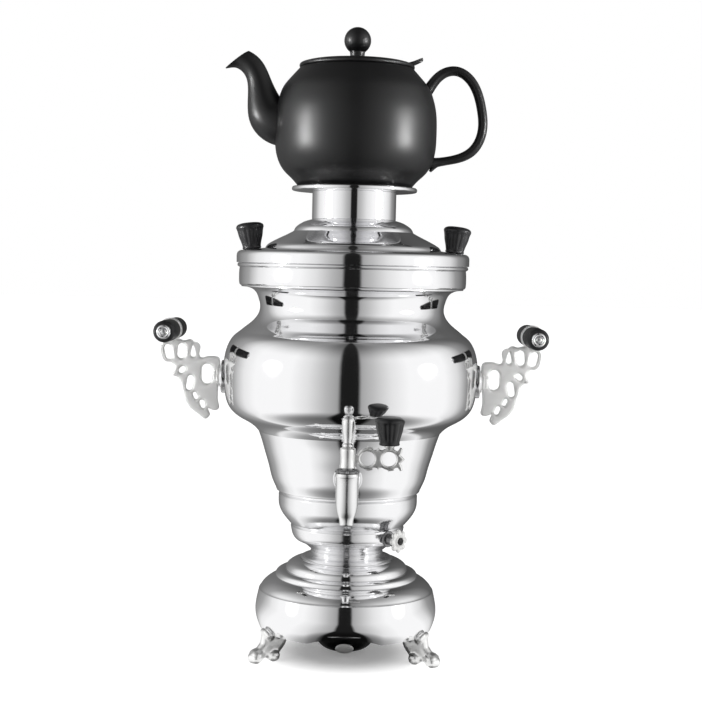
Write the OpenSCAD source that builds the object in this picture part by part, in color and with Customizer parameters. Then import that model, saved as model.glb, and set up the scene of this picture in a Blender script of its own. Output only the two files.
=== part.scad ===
// Table samovar: a lathe-turned water vessel on a footed base, with a front tap, a drain cock,
// two side handles, a lift-off lid, a chimney collar with a teapot stand, and a teapot on top.
// The origin is on the vessel's axis at floor level. The tap points to -Y and +Z is up.

/* [Base] */
// Height of the skirt's lower edge above the floor
skirt_z = 23; // [21:0.5:26]
// Radius of the skirt's lower edge
skirt_r = 73.5; // [71:0.5:75]
// Largest radius of the base
base_r = 77.4; // [76.5:0.1:82]
// Height of the skirt wall, up to the shoulder line
skirt_h = 33; // [30:1:38]
// Radius at the shoulder line
shoulder_r = 74.5; // [72:0.5:76]
// Height of the lower dome of the base
dome_h = 10.5; // [8:0.5:14]
// Radius where the raised ring of the base starts
ring_r = 60.5; // [57:0.5:64]
// Height of the raised ring
ring_h = 5.5; // [4.5:0.5:7]
// Radius of the top of the raised ring
ring_top_r = 52; // [49:0.5:54]
// Height of the upper dome of the base
cap_h = 9.4; // [8:0.2:12]
// Rise of the three arches cut into the skirt's lower edge
arch_rise = 5.5; // [3:0.5:7]
// Half width of each arch
arch_half_w = 31; // [24:1:36]

/* [Neck] */
// Radius of the neck's foot flange
neck_flange_r = 39.5; // [37:0.5:43]
// Smallest radius of the neck
neck_r = 29.4; // [28.5:0.1:32]
// Height of the neck
neck_h = 8.6; // [7:0.2:12]
// Radius of the neck's bore, which lets ash fall through
neck_bore_r = 20.5; // [16:0.5:22]

/* [Vessel] */
// Sheet thickness of the vessel and the base
wall = 1.1; // [0.8:0.1:1.6]
// Radius of the lower bowl's floor
floor_r = 31; // [30:0.5:34]
// Radius of the lower bowl's small tier
tier_r = 48.4; // [46:0.2:51]
// Height of the small tier
tier_h = 19.5; // [17:0.5:23]
// Height of the groove between the tiers
groove_h = 2.5; // [2:0.1:3.5]
// Depth of the groove between the tiers
groove_depth = 1; // [0.6:0.1:1.6]
// Radius of the lower bowl's large tier
bowl_r = 59.6; // [57:0.2:61]
// Height of the large tier
bowl_h = 28; // [25:0.5:32]
// Radius of the conical part's lower edge
cone_low_r = 60.6; // [60:0.1:62]
// Radius of the conical part's upper edge
cone_top_r = 77.4; // [75:0.2:80]
// Height of the conical part
cone_h = 50.5; // [46:0.5:56]
// Largest radius of the bulb
bulb_r = 107.5; // [104:0.5:111]
// Height of the bulb up to its crease
bulb_h = 83.8; // [78:0.2:90]
// Radius of the crease above the bulb
crease_r = 95.2; // [92:0.2:98]
// Smallest radius of the throat
throat_r = 78; // [75:0.5:81]
// Height of the throat, up to the band
throat_h = 39; // [36:0.5:43]
// Radius of the band below the lid
band_r = 96.2; // [94:0.2:98]
// Height of the band
band_h = 19.1; // [16:0.1:23]
// Radius of the bead on top of the band
bead_r = 97.7; // [96.5:0.1:99]
// Height of the bead
bead_h = 3.4; // [2.6:0.1:4.5]

/* [Fire tube] */
// Outer radius of the fire tube
fire_tube_r = 26; // [24:0.5:28]
// Wall of the fire tube
fire_tube_wall = 1.2; // [0.8:0.1:2]
// How far the fire tube stands up inside the chimney collar
fire_tube_rise = 18; // [8:1:22]
// Thickness of the grate
grate_t = 3; // [2:0.5:5]
// Radius of the holes in the grate
grate_hole_r = 2.4; // [1.6:0.1:3]

/* [Ash pan] */
// Radius of the ash pan's rim
pan_rim_r = 31; // [29:0.5:34]
// Radius of the ash pan's wall
pan_r = 26.4; // [24:0.2:28]
// Height of the ash pan's bottom above the floor
pan_z = 7.2; // [5:0.1:10]
// Wall of the ash pan
pan_wall = 1.4; // [1:0.1:2]
// Thickness of the base plate that carries the ash pan
plate_t = 1.6; // [1.2:0.1:2.5]
// Radius of the vent holes in the base plate
vent_r = 4; // [2.5:0.5:5]

/* [Lid] */
// Radius of the lid's rim
lid_r = 98.5; // [97:0.1:101]
// Height of the lid's rolled rim
lid_rim_h = 10.4; // [8:0.2:13]
// Radius of the inner edge of the sloping ring that carries the knobs
ledge_in_r = 74.5; // [72:0.5:76]
// Rise of the sloping ring towards the middle
ledge_rise = 2.2; // [1.2:0.1:3.5]
// Radius of the step halfway up the dome
step_r = 50.6; // [48:0.2:54]
// Height of the dome from the ring to the step
lid_dome_h = 14.8; // [12:0.2:18]
// Height of the upper step, up to the collar's seat
lid_step_h = 9.8; // [8:0.2:13]
// Thickness of the lid
lid_t = 1.2; // [0.9:0.1:1.8]
// Depth of the skirt that centres the lid in the band
lid_skirt_h = 9; // [6:0.5:12]
// Radius of the fire tube's passage through the lid
lid_hole_r = 30; // [29.5:0.5:32]

/* [Knobs] */
// Height of a knob
knob_h = 22.5; // [19:0.5:26]
// Radius of a knob's foot
knob_foot_r = 7.7; // [6.5:0.1:9]
// Radius of a knob's head
knob_head_r = 11.7; // [10:0.1:13]
// Distance of the lid knobs from the axis
knob_reach = 85; // [82:0.5:88]

/* [Chimney collar and stand] */
// Radius of the chimney collar
collar_r = 35.5; // [33.5:0.5:37]
// Height of the chimney collar
collar_h = 24; // [20:0.5:30]
// Wall of the chimney collar
collar_wall = 1.2; // [0.8:0.1:2]
// Radius of the teapot stand
stand_r = 53; // [51.5:0.5:56]
// Height of the teapot stand's rolled edge
stand_h = 3.8; // [3:0.1:5]
// Thickness of the teapot stand's plate
stand_t = 1.8; // [1.2:0.1:2.4]
// Radius of the hole that lets the heat through to the teapot
stand_hole_r = 23; // [18:0.5:26]

/* [Teapot] */
// Radius of the teapot's foot
pot_foot_r = 47.2; // [44:0.2:48.5]
// Largest radius of the teapot
pot_r = 68.2; // [65:0.2:72]
// Height of the teapot's body
pot_h = 101.2; // [94:0.2:108]
// Radius of the teapot's mouth, outside
pot_mouth_r = 47.8; // [45:0.2:50]
// Wall of the teapot
pot_wall = 3.6; // [3:0.1:4.6]
// Wall of the spout
spout_wall = 2.4; // [1.8:0.1:3]
// How much wider than it is thick the teapot's handle is
grip_width_ratio = 1.3; // [1:0.05:1.5]
// Height of the teapot lid's crown
pot_lid_h = 6.4; // [5:0.2:9]
// Height of the neck under the ball on the teapot's lid
pot_neck_h = 7.2; // [5:0.2:10]
// Radius of the ball on the teapot's lid
pot_ball_r = 11.3; // [9:0.1:13]

/* [Tap] */
// Distance of the tap's axis in front of the vessel's axis
tap_reach = 122; // [118:0.5:128]
// Height of the tap's shank above the lower edge of the cone
tap_rise = 19; // [15:0.5:23]
// Outer radius of the tap's barrel
tap_r = 9; // [8.4:0.1:10.5]
// Length of the tap's barrel above the shank's axis
tap_up = 12.5; // [11:0.5:15]
// Length of the tap below the shank's axis
tap_down = 28; // [24:0.5:34]
// Radius of the tap's outlet, outside
outlet_r = 5.6; // [5:0.1:6.5]
// Radius of the outlet's bore
outlet_bore_r = 3.6; // [3:0.1:4.2]
// Radius of the turning plug
plug_r = 6.4; // [5.8:0.1:7]
// Radius of the tap's shank
shank_r = 7.6; // [6.6:0.1:8.4]
// Radius of the water way through the shank and the plug
water_r = 3.4; // [2.6:0.1:3.8]
// Radius of the tap's flange on the cone
tap_flange_r = 13.5; // [12:0.5:16]
// Length of the key from the tap's axis to the knob
key_reach = 32; // [30:0.5:36]
// Radius of the rings in the key
key_ring_r = 8.5; // [7.8:0.1:9.4]
// Thickness of the key's openwork
key_t = 4; // [3:0.5:5.5]
// Height of the key's hub
key_hub_h = 16.5; // [15.5:0.5:19]
// Height of the finial above the key
finial_h = 24; // [18:0.5:28]

/* [Drain cock] */
// Direction of the drain cock, to the right of the front
drain_angle = 45; // [35:1:55]
// Height of the drain cock above the bowl's floor
drain_rise = 14.6; // [13:0.5:16.5]
// Radius of the drain stub
drain_r = 5; // [4.4:0.1:6]
// Length of the drain stub from the bowl to its key
drain_len = 12; // [10:0.5:15]
// Radius of the drain key's rosette
drain_key_r = 9.5; // [8:0.5:10.5]

/* [Side handles] */
// Height of the handle flange above the bulb's lower edge
handle_rise = 44.5; // [42:0.5:48]
// Radius of the handle flange
handle_flange_r = 14; // [12:0.5:15]
// Thickness of the cast bracket
bracket_t = 7; // [5:0.5:8]
// Distance of the grips from the vessel's axis
grip_x = 154; // [150:0.5:157]
// Height of the grips above the handle flange
grip_rise = 39; // [37:0.5:42]
// Radius of a grip
grip_r = 9; // [8:0.25:10]
// Length of a grip with its caps
grip_len = 95; // [84:1:106]
// Thickness of a grip's end disc
grip_cap_t = 3; // [2:0.5:5]
// Radius of a grip's end disc
grip_cap_r = 6; // [5:0.1:7]
// Radius of the rod through a grip
rod_r = 2.5; // [2:0.1:3]

/* [Feet] */
// How far a foot's toe tip stands out past the base's largest radius
toe_out = 13.8; // [12:0.2:17]
// Radius of the toe and of the lobe behind it
toe_r = 6.4; // [5.8:0.1:7]
// Radius of a foot's leg
leg_r = 4.8; // [4.2:0.1:5.6]
// Half width of a foot's root
foot_half_w = 8; // [6:0.5:10]
// Angle of the two front feet from the front
foot_angle = 60; // [55:1:65]

/* [Hidden] */

fit = 0.1;            // gap between fixed pieces
seat = 0.1;           // gap under a piece that lifts off
run = 0.05;           // radial gap of a turning fit
free_gap = 0.4;       // gap round a piece that moves freely
lathe_fn = 96;
small_fn = 40;
eps = 0.01;

// Heights, stacked from the floor up
z_shoulder = skirt_z + skirt_h;
z_ring = z_shoulder + dome_h;
z_cap = z_ring + ring_h;
z_neck = z_cap + cap_h;
z_bowl = z_neck + neck_h;
z_groove = z_bowl + tier_h;
z_tier = z_groove + groove_h;
z_cone = z_tier + bowl_h;
z_bulb = z_cone + cone_h;
z_crease = z_bulb + bulb_h;
z_band = z_crease + throat_h;
z_bead = z_band + band_h - bead_h;
z_mouth = z_band + band_h;
z_lid = z_mouth + seat;
z_ledge = z_lid + lid_rim_h;
z_dome = z_ledge + ledge_rise;
z_step = z_dome + lid_dome_h;
z_collar = z_step + lid_step_h;
z_stand = z_collar + seat + collar_h;
z_pot = z_stand + stand_t + seat;
z_pot_rim = z_pot + pot_h;
z_pot_lid = z_pot_rim + seat;
z_tap = z_cone + tap_rise;
z_key = z_tap + tap_up;
z_handle = z_bulb + handle_rise;
z_grip = z_handle + grip_rise;
z_drain = z_bowl + drain_rise;

// Points along curves
function knot(p, i) = p[max(0, min(len(p) - 1, i))];
function between(a, b, c, d, t) =
    0.5 * (2 * b + (c - a) * t + (2 * a - 5 * b + 4 * c - d) * t * t + (3 * b - 3 * c + d - a) * t * t * t);
function curve(p, n = 5) = concat(
    [for (i = [0:len(p) - 2], j = [0:n - 1])
        between(knot(p, i - 1), knot(p, i), knot(p, i + 1), knot(p, i + 2), j / n)],
    [p[len(p) - 1]]);
function loop(p, n = 5) = let (m = len(p))
    [for (i = [0:m - 1], j = [0:n - 1])
        between(p[(i + m - 1) % m], p[i], p[(i + 1) % m], p[(i + 2) % m], j / n)];
function follow(a, b) = concat(a, [for (i = [1:len(b) - 1]) b[i]]);
function turned(p) = [for (i = [len(p) - 1:-1:0]) p[i]];

// Points between two corners, given as shares of the way in radius and in height
function span(a, b, shares) = [for (s = shares) [a[0] + s[0] * (b[0] - a[0]), a[1] + s[1] * (b[1] - a[1])]];

// The inner side of a sheet whose outer side is p, which runs upwards or inwards
function unit(v) = v / norm(v);
function outward(p, i) = let (d = unit(knot(p, i + 1) - knot(p, i - 1))) [d[1], -d[0]];
function inner(p, t, first = [1, 0], last = [1, 0]) =
    [for (i = [0:len(p) - 1]) p[i] - t * (i == 0 ? first : i == len(p) - 1 ? last : outward(p, i))];
function sheet(p, t, first = [1, 0], last = [1, 0]) = concat(p, turned(inner(p, t, first, last)));

module lathe(p) {
    rotate_extrude($fn = lathe_fn) polygon(p);
}

// The space inside an outer side p, grown outwards by g
module filled(p, g = 0) {
    grown = inner(p, -g);
    top = grown[len(grown) - 1];
    rotate_extrude($fn = lathe_fn) polygon(concat([[0, grown[0][1]]], grown, [[0, top[1]]]));
}

module disc(r, h, z = 0) {
    translate([0, 0, z]) cylinder(r = r, h = h, $fn = small_fn);
}

module tube(r, bore, h, z = 0) {
    difference() {
        disc(r, h, z);
        disc(bore, h + 2, z - 1);
    }
}

// Places children on a line that leaves the axis at height z, turned by angle from the front
module outwards(angle, z, r = 0) {
    rotate([0, 0, angle]) translate([0, -r, z]) rotate([90, 0, 0]) children();
}

// Outer sides of the sheet metal, from the skirt's edge up to the lid
base_side = follow(
    curve([[skirt_r, skirt_z], [(skirt_r + base_r) / 2 + 0.6, skirt_z + skirt_h * 0.2],
        [base_r, skirt_z + skirt_h * 0.43], [base_r - 0.4, skirt_z + skirt_h * 0.56],
        [shoulder_r + 0.8, skirt_z + skirt_h * 0.84], [shoulder_r, z_shoulder - 1]]),
    follow(
        follow([[shoulder_r, z_shoulder - 1], [shoulder_r - 0.7, z_shoulder - 0.3]],
            curve(span([shoulder_r - 0.7, z_shoulder - 0.3], [ring_r, z_ring],
                [[0, 0], [0.1, 0.2], [0.32, 0.52], [0.72, 0.84], [1, 1]]))),
        follow(
            curve(span([ring_r, z_ring], [ring_top_r, z_cap], [[0, 0], [0.05, 0.5], [0.45, 0.9], [1, 1]])),
            curve(span([ring_top_r, z_cap], [neck_flange_r, z_neck],
                [[0, 0], [0.08, 0.38], [0.42, 0.76], [1, 1]])))));
bowl_side = follow(
    follow([[fire_tube_r + fit, z_bowl], [floor_r, z_bowl]],
        curve(span([floor_r, z_bowl], [tier_r, z_groove],
            [[0, 0], [0.14, 0.1], [0.38, 0.26], [0.74, 0.42], [0.9, 0.62], [0.96, 0.8], [1, 1]]))),
    follow(
        [[tier_r, z_groove], [tier_r - groove_depth, z_groove + groove_h / 2], [tier_r + 1, z_tier]],
        curve(span([tier_r + 1, z_tier], [bowl_r, z_cone],
            [[0, 0], [0.28, 0.12], [0.74, 0.36], [0.93, 0.55], [0.97, 0.75], [1, 1]]))));
cone_side = curve(span([cone_low_r, z_cone], [cone_top_r, z_bulb],
    [[0, 0], [0.1, 0.06], [0.24, 0.18], [0.42, 0.4], [0.66, 0.65], [0.84, 0.85], [1, 1]]));
bulb_side = follow(
    curve(concat(
        span([cone_top_r, z_bulb], [bulb_r, z_bulb + bulb_h * 0.53],
            [[0, 0], [0.09, 0.06], [0.3, 0.175], [0.62, 0.3], [0.85, 0.46], [0.96, 0.68], [1, 1]]),
        span([bulb_r, z_bulb + bulb_h * 0.53], [crease_r, z_crease],
            [[0.04, 0.5], [0.24, 0.71], [0.66, 0.91], [1, 1]]))),
    curve(concat(
        span([crease_r, z_crease], [throat_r, z_crease + throat_h * 0.5],
            [[0, 0], [0.3, 0.22], [0.62, 0.44], [0.84, 0.66], [0.98, 0.92]]),
        span([throat_r, z_crease + throat_h * 0.5], [band_r - 2.2, z_band - fit - wall],
            [[0, 0.08], [0.08, 0.42], [0.24, 0.72], [0.5, 0.92], [1, 1]]))));
band_side = concat(
    curve([[band_r - 2, z_band], [band_r - 0.5, z_band + 1.6], [band_r, z_band + band_h * 0.4],
        [band_r - 0.3, z_bead]]),
    curve([[bead_r - 0.6, z_bead + 0.3], [bead_r, z_bead + bead_h * 0.5], [bead_r - 0.5, z_mouth - 0.3],
        [bead_r - 1.2, z_mouth]]));
ledge_r = lid_r - 5;
ledge_slope = atan(ledge_rise / (ledge_r - ledge_in_r));
lid_side = follow(
    curve([[lid_r - 0.1, z_lid], [lid_r, z_lid + lid_rim_h * 0.5], [lid_r - 1.2, z_lid + lid_rim_h * 0.8],
        [ledge_r, z_ledge]]),
    follow(
        [[ledge_r, z_ledge], [ledge_in_r, z_dome]],
        follow(
            curve(span([ledge_in_r, z_dome], [step_r, z_step],
                [[0, 0], [0.07, 0.2], [0.22, 0.36], [0.52, 0.62], [0.84, 0.87], [1, 1]])),
            concat(
                curve(span([step_r, z_step], [collar_r + 1, z_collar],
                    [[0, 0], [0.12, 0.36], [0.42, 0.7], [0.86, 0.95], [1, 1]])),
                [[lid_hole_r, z_collar]]))));

function side_r(p, z) = let (hit = [for (i = [0:len(p) - 2]) if (p[i][1] <= z && z < p[i + 1][1])
    p[i][0] + (p[i + 1][0] - p[i][0]) * (z - p[i][1]) / (p[i + 1][1] - p[i][1])]) hit[0];

// Base
z_plate = skirt_z + arch_rise + 2;
pan_hole_r = pan_r + 0.8;
foot_screw_r = 2;
foot_screw_depth = 9;
foot_screw_reach = skirt_r - 9.5;
toe_reach = base_r + toe_out;
screw_head_h = 2.4;
screw_head_r = 4;
vent_count = 6;
vent_reach = 48;
arch_r = (arch_half_w * arch_half_w + arch_rise * arch_rise) / (2 * arch_rise);
foot_angles = [-foot_angle, foot_angle, 180];
toe_flat = 1.2;

module base_shell() {
    color("silver") difference() {
        lathe(sheet(base_side, wall, [1, 0], [0, 1]));
        for (a = [0, 120, 240])
            outwards(a, skirt_z + arch_rise - arch_r, skirt_r - 12)
                cylinder(r = arch_r, h = 20, $fn = lathe_fn);
    }
}

module base_plate() {
    plate_r = side_r(base_side, z_plate) - wall - fit;
    color("silver") difference() {
        translate([0, 0, z_plate]) cylinder(r = plate_r, h = plate_t, $fn = lathe_fn);
        disc(pan_hole_r, plate_t + 2, z_plate - 1);
        for (i = [0:vent_count - 1])
            rotate([0, 0, (i + 0.5) * 360 / vent_count]) translate([vent_reach, 0, 0])
                disc(vent_r, plate_t + 2, z_plate - 1);
        foot_screw_shanks(fit);
    }
}

module ash_pan() {
    z_rim = z_plate + plate_t;
    side = concat(
        curve([[pan_r * 0.56, pan_z], [pan_r * 0.8, pan_z + 2.6], [pan_r * 0.96, pan_z + 8],
            [pan_r, pan_z + 15], [pan_r, z_rim]]));
    color("black") lathe(concat([[0, pan_z]], side,
        [[pan_rim_r, z_rim], [pan_rim_r, z_rim + pan_wall], [pan_r - pan_wall, z_rim + pan_wall]],
        turned(inner(side, pan_wall, [0, -1], [1, 0])), [[0, pan_z + pan_wall]]));
}

// A cast foot whose toe points along +X in its own frame: its root is clamped under the skirt's edge,
// the leg drops behind the edge, and the toe and the lobe behind it stand on the floor
module foot_shape() {
    heel = [foot_screw_reach - leg_r * 0.6, skirt_z - 1];
    hip = [base_r - 1.2, skirt_z + 2.2];
    waist = [toe_reach - toe_r * 3.3, skirt_z * 0.84];
    instep = [toe_reach - toe_r * 2.4, toe_r * 1.7];
    toe = [toe_reach - toe_r, toe_r - toe_flat];
    lobe = [toe_reach - toe_r * 3.1, toe_r * 0.95 - toe_flat];
    difference() {
        intersection() {
            union() {
                hull() for (s = [-1, 1]) {
                    at_foot(heel, s * foot_half_w * 0.5) sphere(r = leg_r, $fn = 24);
                    at_foot(hip, s * foot_half_w * 0.5) sphere(r = leg_r * 0.84, $fn = 24);
                    at_foot([hip[0] - leg_r * 0.4, skirt_z - leg_r * 0.5], s * foot_half_w * 0.4)
                        sphere(r = leg_r * 0.84, $fn = 24);
                }
                translate([foot_screw_reach, 0, skirt_z])
                    cylinder(r = leg_r, h = z_plate - skirt_z, $fn = 24);
                hull() {
                    for (s = [-1, 1]) at_foot([waist[0], skirt_z - 1], s * foot_half_w * 0.4)
                        sphere(r = leg_r, $fn = 24);
                    at_foot(waist, 0) sphere(r = leg_r, $fn = 24);
                }
                hull() {
                    at_foot(waist, 0) sphere(r = leg_r, $fn = 24);
                    at_foot(instep, 0) sphere(r = leg_r, $fn = 24);
                }
                hull() {
                    at_foot(instep, 0) sphere(r = leg_r, $fn = 24);
                    for (s = [-1, 1]) at_foot(toe, s * toe_r * 0.3) sphere(r = toe_r, $fn = 24);
                }
                hull() {
                    at_foot(instep, 0) sphere(r = leg_r, $fn = 24);
                    for (s = [-1, 1]) at_foot(lobe, s * toe_r * 0.5) sphere(r = toe_r * 0.95, $fn = 24);
                }
            }
            translate([0, -toe_reach / 2, 0]) cube([toe_reach * 1.2, toe_reach, z_shoulder]);
        }
        lathe(concat([[0, z_plate - fit], [skirt_r - wall - 4, z_plate - fit]],
            [for (p = inner(base_side, wall + fit)) if (p[1] > z_plate - 0.5 && p[1] < z_ring) p],
            [[0, z_ring]]));
        lathe(sheet([for (p = inner(base_side, -fit)) if (p[1] < z_shoulder)
            p[1] < skirt_z + eps ? [p[0], skirt_z - fit] : p], wall + 2 * fit));
    }
}

module at_foot(p, y) {
    translate([p[0], y, p[1]]) children();
}

module foot(angle) {
    color("silver") difference() {
        rotate([0, 0, angle - 90]) foot_shape();
        foot_screw_shanks(fit);
    }
}

module foot_left() { foot(foot_angles[0]); }
module foot_right() { foot(foot_angles[1]); }
module foot_rear() { foot(foot_angles[2]); }

module foot_screw_shanks(gap = 0) {
    for (a = foot_angles)
        rotate([0, 0, a - 90]) translate([foot_screw_reach, 0, 0])
            disc(foot_screw_r + gap, plate_t + foot_screw_depth + gap * 2,
                z_plate - foot_screw_depth - gap);
}

module foot_screws() {
    color("silver") union() {
        foot_screw_shanks();
        for (a = foot_angles)
            rotate([0, 0, a - 90]) translate([foot_screw_reach, 0, 0])
                disc(screw_head_r, screw_head_h, z_plate + plate_t);
    }
}

// Neck, grate and fire tube
module neck_collar() {
    side = concat(
        curve(span([neck_flange_r, z_neck], [neck_r, z_neck + neck_h * 0.5],
            [[0, 0.05], [0.14, 0.26], [0.6, 0.4], [0.93, 0.7], [1, 1]])),
        curve([[neck_r + 0.2, z_neck + neck_h * 0.56], [neck_r + 1.3, z_neck + neck_h * 0.68],
            [neck_r + 0.4, z_neck + neck_h * 0.82], [neck_r + 0.8, z_bowl]]));
    color("silver") lathe(concat([[neck_bore_r, z_neck + fit], [neck_flange_r, z_neck + fit]], side,
        [[neck_bore_r, z_bowl]]));
}

module grate() {
    color("dimgray") difference() {
        disc(fire_tube_r - fire_tube_wall - free_gap, grate_t, z_bowl + fit);
        for (ring = [0:2], i = [0:max(0, ring * 6 - 1)])
            rotate([0, 0, i * 360 / max(1, ring * 6)]) translate([ring * 7.4, 0, 0])
                disc(grate_hole_r, grate_t + 2, z_bowl - 1);
    }
}

module fire_tube() {
    z_low = z_bowl + fit;
    color("lightgray")
        tube(fire_tube_r, fire_tube_r - fire_tube_wall, z_collar + fire_tube_rise - z_low, z_low);
}

// Vessel
drain_hole_r = drain_r - 1;

module bowl_shell() {
    color("silver") difference() {
        lathe(sheet(bowl_side, wall, [0, -1], [1, 0]));
        outwards(drain_angle, z_drain, fire_tube_r + 4) cylinder(r = drain_hole_r, h = 40, $fn = small_fn);
    }
}

module cone_shell() {
    color("silver") difference() {
        lathe(sheet(cone_side, wall));
        outwards(0, z_tap, fire_tube_r + 4) cylinder(r = shank_r + fit, h = 60, $fn = small_fn);
    }
}

module bulb_shell() {
    color("silver") difference() {
        lathe(sheet(bulb_side, wall, [1, 0], [0, -1]));
        for (s = [-1, 1]) handle_axis(s) disc(bolt_r + fit, 40, bulb_r - 20);
    }
}

module rim_band() {
    band_in_r = bead_r - 4.2;
    color("silver") lathe(concat(band_side, [[band_in_r, z_mouth], [band_in_r, z_band + wall * 1.5],
        [throat_r + 8, z_band + wall * 1.5], [throat_r + 8, z_band]]));
}

// Side handles: the handle axis leaves the bulb sideways at z_handle
bolt_r = 2.4;
bolt_head_r = 5;
boss_r = 6.5;
boss_len = 4.6;
flange_x = bulb_r + 4.4;
bolt_end_x = flange_x + boss_len - 0.8;

module handle_axis(s, x = 0) {
    mirror([s < 0 ? 1 : 0, 0, 0]) translate([x, 0, z_handle]) rotate([0, 90, 0]) children();
}

module handle_flange(s) {
    color("silver") difference() {
        handle_axis(s) rotate_extrude($fn = small_fn) polygon([[bolt_r + fit, bulb_r - 4],
            [handle_flange_r, bulb_r - 4], [handle_flange_r, flange_x - 2.6],
            [handle_flange_r - 1, flange_x - 1.4], [handle_flange_r - 4, flange_x - 0.8],
            [boss_r + 2, flange_x], [bolt_r + fit, flange_x]]);
        filled(bulb_side, fit);
    }
}

module handle_flange_left() { handle_flange(-1); }
module handle_flange_right() { handle_flange(1); }

// Outline of the cast scroll and its slots (x, z, width, height, lean), as shares of the way from the
// flange to the grip and of the grip's height above the flange's centre
bracket_outline = [
    [0, 0.385], [0.205, 0.436], [0.385, 0.41], [0.462, 0.667], [0.59, 0.795], [0.718, 0.769],
    [0.859, 0.808], [1, 0.756], [1.154, 0.718], [1.195, 0.513], [1.103, 0.321], [0.962, 0.282],
    [0.885, 0.154], [0.949, 0.013], [0.821, -0.051], [0.731, -0.256], [0.679, -0.513], [0.577, -0.692],
    [0.423, -0.821], [0.269, -0.936], [0.179, -0.846], [0.218, -0.705], [0.09, -0.744],
    [-0.005, -0.692], [0.026, -0.462], [0.005, 0]];
bracket_slots = [
    [1.031, 0.513, 0.174, 0.338, -12],
    [0.764, 0.538, 0.185, 0.333, 4],
    [0.51, 0.544, 0.128, 0.277, 12],
    [0.246, 0.051, 0.19, 0.385, 0],
    [0.6, -0.154, 0.138, 0.321, 10],
    [0.477, -0.436, 0.097, 0.164, -25],
    [0.328, -0.615, 0.113, 0.195, -20],
    [0.749, 0.128, 0.123, 0.179, 50]];

function on_bracket(p) = [flange_x + p[0] * (grip_x - flange_x), p[1] * grip_rise];

module bracket_slot(p) {
    w = p[2] * grip_rise;
    h = p[3] * grip_rise;
    translate(on_bracket(p)) rotate(p[4]) union() {
        for (s = [-1, 1]) translate([0, s * (h - w) / 2]) circle(r = w / 2, $fn = 24);
        translate([-w / 2, -(h - w) / 2]) square([w, h - w]);
    }
}

module bracket_flat() {
    difference() {
        union() {
            polygon(loop([for (p = bracket_outline) on_bracket(p)], 4));
            translate([grip_x, grip_rise]) circle(r = grip_r + 1, $fn = small_fn);
        }
        for (p = bracket_slots) bracket_slot(p);
        translate([grip_x, grip_rise]) circle(r = rod_r + fit, $fn = small_fn);
    }
}

module bracket(s) {
    color("gainsboro") mirror([s < 0 ? 1 : 0, 0, 0]) difference() {
        union() {
            translate([0, bracket_t / 2, z_handle]) rotate([90, 0, 0])
                linear_extrude(bracket_t) bracket_flat();
            handle_axis(1, flange_x + fit) disc(boss_r, boss_len);
        }
        handle_axis(1, flange_x - 2) disc(bolt_r + fit, bolt_end_x - flange_x + 2 + fit);
        translate([0, -bracket_t, z_handle - grip_rise * 1.5])
            cube([flange_x + fit, bracket_t * 2, grip_rise * 3]);
    }
}

module bracket_left() { bracket(-1); }
module bracket_right() { bracket(1); }

grip_half = grip_len / 2 - grip_cap_t;
eye_half = bracket_t / 2 + fit;

module grip_axis(s) {
    translate([s * grip_x, 0, z_grip]) rotate([90, 0, 0]) children();
}

module grip(s, end) {
    color("black") grip_axis(s) mirror([0, 0, end > 0 ? 1 : 0]) rotate_extrude($fn = small_fn)
        polygon([[rod_r + fit, eye_half], [grip_r - 0.6, eye_half], [grip_r, eye_half + 0.6],
            [grip_r, grip_half - 3], [grip_r - 0.4, grip_half - 1.4], [grip_r - 1.4, grip_half - 0.4],
            [grip_r - 2.6, grip_half], [rod_r + fit, grip_half]]);
}

module grip_left_front() { grip(-1, -1); }
module grip_left_rear() { grip(-1, 1); }
module grip_right_front() { grip(1, -1); }
module grip_right_rear() { grip(1, 1); }

module grip_rod(s) {
    color("silver") grip_axis(s) disc(rod_r, grip_half * 2 + grip_cap_t, -grip_half - grip_cap_t / 2);
}

module grip_rod_left() { grip_rod(-1); }
module grip_rod_right() { grip_rod(1); }

module grip_caps() {
    color("silver") for (s = [-1, 1], end = [-1, 1])
        grip_axis(s) mirror([0, 0, end > 0 ? 1 : 0]) rotate_extrude($fn = small_fn)
            polygon([[0, grip_half + grip_cap_t / 2 + fit], [rod_r + fit, grip_half + grip_cap_t / 2 + fit],
                [rod_r + fit, grip_half + fit], [grip_cap_r, grip_half + fit],
                [grip_cap_r, grip_half + grip_cap_t * 0.4],
                [grip_cap_r - 0.8, grip_half + grip_cap_t * 0.75],
                [grip_cap_r * 0.7, grip_half + grip_cap_t], [0, grip_half + grip_cap_t]]);
}

seal_t = 2;
seal_r = 8;
seal_x = sqrt(pow(side_r(bulb_side, z_handle) - wall, 2) - seal_r * seal_r) - fit * 2 - seal_t;
bolt_head_t = 4;

module handle_bolts() {
    color("silver") for (s = [-1, 1]) handle_axis(s) union() {
        disc(bolt_r, bolt_end_x - seal_x + bolt_head_t / 2, seal_x - bolt_head_t / 2);
        translate([0, 0, seal_x - bolt_head_t]) cylinder(r = bolt_head_r, h = bolt_head_t, $fn = 6);
    }
}

module handle_seals() {
    color("dimgray") for (s = [-1, 1]) handle_axis(s) tube(seal_r, bolt_r + fit, seal_t, seal_x);
}

// Tap, on its own vertical axis in front of the cone
cone_front_r = side_r(cone_side, z_tap);
gasket_t = 2;
z_nut_y = cone_front_r - wall - 4 - gasket_t;
cap_ring_h = 3;
plug_neck_r = 4.6;
z_outlet = z_tap - tap_down;
z_plug = z_tap - 12;

module at_tap(z = 0) {
    translate([0, -tap_reach, z]) children();
}

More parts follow.
